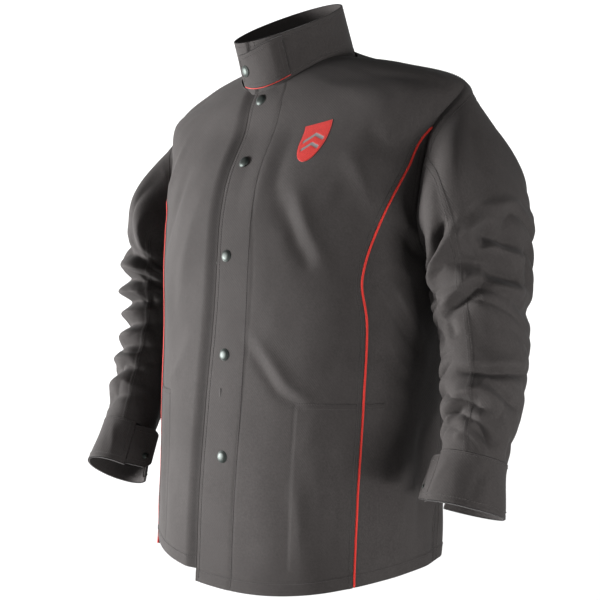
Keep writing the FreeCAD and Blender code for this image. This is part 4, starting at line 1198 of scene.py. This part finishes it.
def cuff(side, name):
    surface = arm(side)
    s_line = sweep((CUFF, 8.0), (30,))
    u = np.repeat(np.linspace(CUFF_OVERLAP, CUFF_HINGE + 361.5, 150)[None, :], len(s_line), 0)
    v = np.repeat(s_line[:, None], u.shape[1], 1)
    down, up = (v - CUFF) * 62, (8 - v) * 62
    from_end = np.minimum(u - CUFF_OVERLAP, CUFF_HINGE + 361.5 - u) * 0.8
    x = u * 0.85
    relief = (CUFF_PROUD + 0.25 + noise_field(71 + side, x + down * 0.3, down, 26, 40) * 1.1 * ease(down / 12)
              - 0.4 * np.exp(-((down - 3.5) / 0.8) ** 2) - 0.4 * np.exp(-((up - 6) / 0.8) ** 2)
              - 0.4 * np.exp(-((from_end - 5) / 0.8) ** 2))
    relief += stroke(x, down, [(220, 8), (236, 30), (244, 54)], 8, 1.8, 0.4)
    relief += stroke(x, down, [(330, 6), (346, 30), (350, 56)], 9, -1.8, 0.4)
    relief += stroke(x, down, [(392, 10), (404, 34), (410, 58)], 8, 1.6, 0.4)
    piece, outer = build_cloth(name + "_cuff_band", surface, u, v, relief, 3.0, SHELL, sign=side,
                               top=8.0, flip=side < 0)
    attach(piece, name + "_forearm")
    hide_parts(name + "_cuff")
    declare(piece, outer)
    normal = normal_of(surface, u, v, side, 8.0)
    for j in (2, 25):
        stitch_row(name + "_cuff", outer[j, 4:-4], normal[j, 4:-4])
    for i in (5, -6):
        stitch_row(name + "_cuff", outer[2:-3, i], normal[2:-3, i])


def cuff_tab(side, name):
    """Free corner of the cuff, standing off with its bare stud."""
    near, height, along, reach, face, round_ = cuff_frame(side)
    start = near + round_ * 1.2
    share = np.linspace(0, 1, 30)
    length = np.linspace(0, 1, 26)
    clip = 9.0 * (np.clip(1 - share / 0.16, 0, 1) ** 2 + np.clip(1 - (1 - share) / 0.16, 0, 1) ** 2)
    reach_by = length[None, :] * (CUFF_LENGTH - clip)[:, None]
    down = share[:, None] * height + 0 * reach_by
    rim = np.minimum(np.minimum(down, height - down), (CUFF_LENGTH - clip)[:, None] - reach_by)
    bend = (0.8 * noise_field(81 + side, reach_by, down, 14, 18) + 1.2 * np.sin(reach_by / CUFF_LENGTH * 3) * side
            - 0.4 * np.exp(-((rim - 5) / 0.8) ** 2))
    bend = bend * ease(reach_by / 8)
    outer = start + reach * reach_by[..., None] + along * down[..., None] + face * bend[..., None]
    inner = outer - face * 2.4
    piece = sheet_mesh(name + "_cuff_tab_cloth", outer, inner, SHELL, flip=side > 0)
    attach(piece, name + "_cuff_tab")
    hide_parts(name + "_cuff_tab")
    declare(piece, outer)
    normals = np.repeat(face[None, :], 60, 0)
    for j in (4, -5):
        stitch_row(name + "_cuff_tab", outer[j, 2:-5], normals[:outer[j, 2:-5].shape[0]])
    stitch_row(name + "_cuff_tab", outer[5:-5, -5], normals[:outer[5:-5, -5].shape[0]])
    stud_at = start + reach * (CUFF_LENGTH - 11) + along * (height * 0.72)
    snaps(name + "_cuff_stud", "stud", [(stud_at, face)], name + "_cuff_tab", [name + "_cuff_snap_stud"],
          face=0.1, cloth=2.6)
    point = arm(side)(np.array(CUFF_CAP), np.array(CUFF + 0.5))
    axis = normal_of(arm(side), np.array(CUFF_CAP), np.array(CUFF + 0.5), side, 8.0)
    snaps(name + "_cuff_cap", "cap", [(point + axis * (CUFF_PROUD + 0.3), axis)], name + "_forearm",
          [name + "_cuff_snap_cap"])
    snaps(name + "_cuff_socket", "socket", [(point, axis)], name + "_forearm",
          [name + "_cuff_snap_socket"], top=CUFF_PROUD - 3.2)


# ================= waist tabs, snaps and trim =================

def waist_tab(side, name):
    low = float(height_to_share(np.array(WAIST_SEWN), WAIST_LOW))
    high = float(height_to_share(np.array(WAIST_SEWN), WAIST_HIGH))

    def tab(a, v):
        narrow = 0.12 * ease((np.abs(a) - WAIST_SEWN - 16) / 11)
        return torso(a, low + (high - low) * (narrow + (1 - 2 * narrow) * v))
    v_line = np.linspace(0, 1, 34)
    u = np.repeat(np.linspace(WAIST_SEWN, WAIST_END, 50)[None, :], len(v_line), 0) * side
    v = np.repeat(v_line[:, None], u.shape[1], 1)
    lift = 0.5 + (TAB_LIFT - 0.5) * ease((np.abs(u) - WAIST_SEWN) / 12)
    rim = np.minimum(np.minimum(v, 1 - v) * 48, (WAIST_END - np.abs(u)) * 3.4)
    relief = (lift + TAB_CLOTH - 0.4 * np.exp(-((rim - 5) / 0.8) ** 2)
              + 0.5 * noise_field(91, u * 3.4, v * 48, 18, 16))
    piece, outer = build_cloth(name + "_waist_tab_cloth", tab, u, v, relief, TAB_CLOTH, SHELL, flip=side < 0)
    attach(piece, name + "_waist_tab")
    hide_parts(name + "_waist_tab")
    declare(piece, outer)
    normal = normal_of(tab, u, v)
    for j in (4, -5):
        stitch_row(name + "_waist_tab", outer[j, 2:-4], normal[j, 2:-4])
    stitch_row(name + "_waist_tab", outer[4:-4, -4], normal[4:-4, -4])
    middle = (low + high) / 2
    point = torso(np.array(side * WAIST_SNAP), np.array(middle))
    axis = normal_of(torso, np.array(side * WAIST_SNAP), np.array(middle))
    snaps(name + "_waist_cap", "cap", [(point + axis * (TAB_LIFT + TAB_CLOTH), axis)], name + "_waist_tab",
          [name + "_waist_snap_cap"])
    snaps(name + "_waist_socket", "socket", [(point, axis)], name + "_waist_tab",
          [name + "_waist_snap_socket"], top=TAB_LIFT - SNAP_GAP)
    return point, axis


def snaps(name, kind, places, body, nodes, top=0.0, face=0.1, cloth=2.6):
    """Turned snap parts: cap, socket or stud."""
    if kind == "cap":
        profile = [(1.5, -1.6), (1.6, 0.05), (7.9, 0.05), (8.2, 0.3), (8.2, 0.7), (7.9, 1.05),
                   (7.3, 1.2), (7.0, 1.35), (6.2, 2.0), (5.0, 2.5), (3.6, 2.82), (2.2, 2.98),
                   (1.0, 3.04), (0.3, 3.05)]
    elif kind == "socket":
        profile = [(2.4, top - 1.8), (4.9, top - 1.8), (5.4, top - 1.4), (5.4, top - 0.3), (5.1, top),
                   (2.7, top), (2.4, top - 0.3), (2.4, top - 1.8)]
    else:
        behind = face - cloth
        profile = [(0.4, behind - 0.7), (4.0, behind - 0.7), (4.4, behind - 0.45), (4.4, behind),
                   (1.6, behind), (1.6, face), (4.6, face), (4.8, face + 0.2), (4.6, face + 0.45),
                   (2.0, face + 0.5), (1.7, face + 1.0), (2.0, face + 1.7), (1.9, face + 2.15),
                   (1.4, face + 2.35), (0.4, face + 2.35)]
    piece = lathe_mesh(name, places, profile, SNAP)
    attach(piece, body)
    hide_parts(*nodes)
    return piece


def front_snaps():
    places = []
    for x, z in zip(SNAP_X, SNAP_Z):
        t = height_to_share(np.array(0.0), z)
        angle = angle_at_x(torso, t, x)
        places.append((torso(angle, t), normal_of(torso, angle, t)))
    snaps("placket_caps", "cap", [(p + n * 0.4, n) for p, n in places], "left_flap", ["placket_snap_caps"])
    snaps("placket_sockets", "socket", places, "left_flap", ["placket_snap_sockets"], top=-STACK - SNAP_GAP)
    snaps("placket_studs", "stud", places, "right_flap", ["placket_snap_studs"], face=0.1 - UNDERLAP,
          cloth=3.0)
    point = collar(np.array(TAB_SNAP), np.array(0.42))
    axis = normal_of(collar, np.array(TAB_SNAP), np.array(0.42))
    snaps("collar_cap", "cap", [(point + axis * (TAB_LIFT + TAB_CLOTH), axis)], "collar_tab",
          ["collar_snap_cap"])
    snaps("collar_socket", "socket", [(point, axis)], "collar_tab", ["collar_snap_socket"],
          top=TAB_LIFT - SNAP_GAP)
    snaps("collar_stud", "stud", [(point, axis)], "right_flap", ["collar_snap_stud"], face=0.1, cloth=3.0)


def emblem():
    """Plain shield badge with two chevrons, embroidered."""
    angle0 = np.array(EMBLEM_ANGLE)
    low = float(height_to_share(angle0, EMBLEM_Z - EMBLEM_HALF_HEIGHT))
    high = float(height_to_share(angle0, EMBLEM_Z + EMBLEM_HALF_HEIGHT))
    up = np.linspace(0, 1, 60)
    t = low + (high - low) * up
    half = EMBLEM_HALF_WIDTH * np.sqrt(np.maximum(np.sin(np.pi / 2 * np.minimum(up / 0.6, 1)), 0.01))
    across = np.linspace(-1, 1, 50)
    width = half[:, None] * across[None, :]
    u = EMBLEM_ANGLE + width / per_degree(torso, np.full(t.shape, EMBLEM_ANGLE), t)[:, None]
    v = np.repeat(t[:, None], 50, 1)
    height = (up[:, None] - 0.5) * 2 * EMBLEM_HALF_HEIGHT + 0 * width
    rim = np.minimum((half[:, None] - np.abs(width)), (1 - up[:, None]) * 2 * EMBLEM_HALF_HEIGHT)
    cut = np.zeros_like(width)
    for level in (-6.0, 6.0):
        off = np.abs(height - level + np.abs(width) * 0.55 - 4.0)
        cut = np.maximum(cut, ease((2.6 - off) / 0.8) * ease((rim - 4.5) / 0.8))
    threads = 0.10 * np.sin(width * 5.2 + height * 2.0)
    relief = torso_relief(u, v) + 0.55 + 0.35 * ease(rim / 1.4) + threads - 0.55 * cut
    piece, outer = build_cloth("chest_badge", torso, u, v, relief, 0.75, EMBLEM_RED)
    chevron = bpy.data.materials["shell_cloth"]
    piece.data.materials.append(chevron)
    cells = (cut[:-1, :-1] + cut[1:, 1:] + cut[:-1, 1:] + cut[1:, :-1]) / 4 > 0.5
    for index, is_cut in enumerate(cells.reshape(-1)):
        if is_cut:
            piece.data.polygons[index].material_index = 1
    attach(piece, "torso")
    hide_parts("chest_emblem")
    declare(piece, outer)


def hanger():
    """Strap loop and blank label inside the back of the neck."""
    a = np.radians(np.linspace(0, 180, 60))
    outer = LOOP_BASE + np.outer(np.cos(a), [LOOP_HALF, 0, 0]) + np.outer(np.sin(a), LOOP_UP) * LOOP_RISE
    inner = (LOOP_BASE + np.outer(np.cos(a), [LOOP_HALF - LOOP_STRAP, 0, 0])
             + np.outer(np.sin(a), LOOP_UP) * (LOOP_RISE - LOOP_STRAP))
    share = np.linspace(0, 1, 9)
    grid = outer[None] * (1 - share[:, None, None]) + inner[None] * share[:, None, None]
    swell = 0.25 * np.sin(share * np.pi)[:, None, None]
    front_side = grid + LOOP_IN * (LOOP_CLOTH + swell)
    piece = sheet_mesh("hanger_strap", front_side, grid - LOOP_IN * swell, INNER, flip=True)
    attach(piece, "torso")
    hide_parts("hanger_loop")
    declare(piece, front_side)
    for row in (1, 7):
        stitch_row("hanger", front_side[row, 2:-2], np.repeat(LOOP_IN[None], 56, 0))
    t = np.linspace(0.945, 0.985, 20)
    u = np.repeat(np.linspace(169, 191, 40)[None, :], 20, 0)
    v = np.repeat(t[:, None], 40, 1)
    relief = torso_relief(u, v) - CLOTH - 0.15 + 0.12 * noise_field(95, u * 1.4, v * 500, 9, 6)
    label, outer = build_cloth("label", torso, u, v, relief, 0.55, LABEL)
    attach(label, "torso")
    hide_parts("size_label")
    declare(label, outer)


def bar_tack():
    """Short dense tack that holds the facing at mid height."""
    t = height_to_share(np.array(0.0), np.array(244.0))
    edge = float(front_edge(1, np.array([float(t)]))[0])
    angle = edge + 22 / float(per_degree(torso, np.array(edge), t))
    point = torso(np.array(angle), t)
    normal = normal_of(torso, np.array(angle), t)
    for k in range(14):
        level = point + np.array([0, 0, (k - 7) * 0.8])
        line = np.array([level + np.array([-1.3, 0, 0]), level, level + np.array([1.3, 0, 0])]) + normal * 0.5
        STITCHES.setdefault("left_front", []).append((line, normal, 0.36, 0.2))


for side, name in SIDES:
    front(side, name)
    side_panel(side, name)
    princess_piping(side, name)
    facing(side, name)
    inner_pocket(side, name)
    collar_half(side, name)
    sleeve(side, name)
    cuff(side, name)
    cuff_tab(side, name)
back()
collar_tab()
waist_studs = [waist_tab(side, name) for side, name in SIDES]
snaps("waist_studs", "stud", waist_studs, "torso", ["waist_snap_studs"], face=0.1, cloth=1.9)
front_snaps()
emblem()
hanger()
bar_tack()

for side, name in SIDES:
    fold_blend(stitch_mesh(name + "_front_stitches", name + "_front", THREAD))
    fold_blend(stitch_mesh("collar_%s_stitches" % name, "collar_" + name, THREAD))
    shoulder_blend(stitch_mesh(name + "_sleeve_stitches", name + "_upper", THREAD))
    elbow_blend(stitch_mesh(name + "_forearm_stitches", name + "_fore", THREAD))
    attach(stitch_mesh(name + "_side_stitches", name + "_side", THREAD), "torso")
    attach(stitch_mesh(name + "_cuff_stitches", name + "_cuff", THREAD), name + "_forearm")
    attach(stitch_mesh(name + "_cuff_tab_stitches", name + "_cuff_tab", THREAD), name + "_cuff_tab")
    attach(stitch_mesh(name + "_waist_tab_stitches", name + "_waist_tab", THREAD), name + "_waist_tab")
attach(stitch_mesh("back_stitches", "back", THREAD), "torso")
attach(stitch_mesh("hanger_stitches", "hanger", THREAD), "torso")
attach(stitch_mesh("collar_tab_stitches", "collar_tab", THREAD), "collar_tab")

# ================= studio =================

def studio():
    floor_z = -1.05
    profile = [(-6.0, floor_z), (1.6, floor_z)]
    for k in range(13):
        a = math.radians(90 * k / 12)
        profile.append((1.6 + 1.2 * math.sin(a), floor_z + 1.2 * (1 - math.cos(a))))
    profile.append((2.8, 1.7))
    view_turn = math.radians(40.5)
    points, faces = [], []
    for x in (-7.0, 7.0):
        for y, z in profile:
            points.append((x * math.cos(view_turn) - y * math.sin(view_turn),
                           x * math.sin(view_turn) + y * math.cos(view_turn), z))
    count = len(profile)
    for k in range(count - 1):
        faces.append((k, k + 1, count + k + 1, count + k))
    mesh = bpy.data.meshes.new("backdrop")
    mesh.from_pydata(points, [], [f[::-1] for f in faces])
    mesh.polygons.foreach_set("use_smooth", [True] * len(mesh.polygons))
    floor = bpy.data.objects.new("backdrop", mesh)
    bpy.context.scene.collection.objects.link(floor)
    material, nodes, links, shader = new_material("backdrop")
    shader.inputs["Base Color"].default_value = (0.2, 0.2, 0.2, 1)
    shader.inputs["Emission Color"].default_value = (1, 1, 1, 1)
    shader.inputs["Emission Strength"].default_value = 0.78
    shader.inputs["Roughness"].default_value = 0.9
    mesh.materials.append(material)
    world = bpy.data.worlds.new("studio")
    world.use_nodes = True
    nodes, links = world.node_tree.nodes, world.node_tree.links
    where = nodes.new("ShaderNodeTexCoord")
    split = nodes.new("ShaderNodeSeparateXYZ")
    links.new(where.outputs["Generated"], split.inputs["Vector"])
    sky = nodes.new("ShaderNodeValToRGB")       # white round the room, darker overhead
    sky.color_ramp.elements[0].position = 0.40
    sky.color_ramp.elements[0].color = (1, 1, 1, 1)
    sky.color_ramp.elements[1].position = 0.80
    sky.color_ramp.elements[1].color = (0.06, 0.06, 0.06, 1)
    links.new(split.outputs["Z"], sky.inputs["Fac"])
    links.new(sky.outputs["Color"], nodes["Background"].inputs["Color"])
    nodes["Background"].inputs["Strength"].default_value = 0.92
    bpy.context.scene.world = world


def area_light(name, place, target, size, energy):
    data = bpy.data.lights.new(name, "AREA")
    data.shape = "RECTANGLE"
    data.size, data.size_y = size
    data.energy = energy
    lamp = bpy.data.objects.new(name, data)
    bpy.context.scene.collection.objects.link(lamp)
    lamp.location = place
    lamp.rotation_mode = "QUATERNION"
    lamp.rotation_quaternion = (Vector(target) - Vector(place)).to_track_quat("-Z", "Y")


studio()
area_light("key", (-2.4, -1.9, -0.6), (0, 0, -0.45), (1.2, 1.0), 640)
area_light("side", (2.3, -0.7, -1.0), (0.3, 0, -0.55), (1.0, 0.5), 150)

camera_data = bpy.data.cameras.new("camera")
camera_data.sensor_width = 36.0
camera_data.lens = 57.9
camera = bpy.data.objects.new("camera", camera_data)
bpy.context.scene.collection.objects.link(camera)
camera.location = tuple(to_row((914.4, -1070.7, 400.0)))
camera.rotation_mode = "QUATERNION"
aim = Vector(tuple(to_row((0.0, 0.0, 363.0)))) - camera.location
camera.rotation_quaternion = aim.to_track_quat("-Z", "Y")
bpy.context.scene.camera = camera
bpy.context.scene.view_settings.view_transform = "Standard"

print("flat cuts", json.dumps(FLAT))
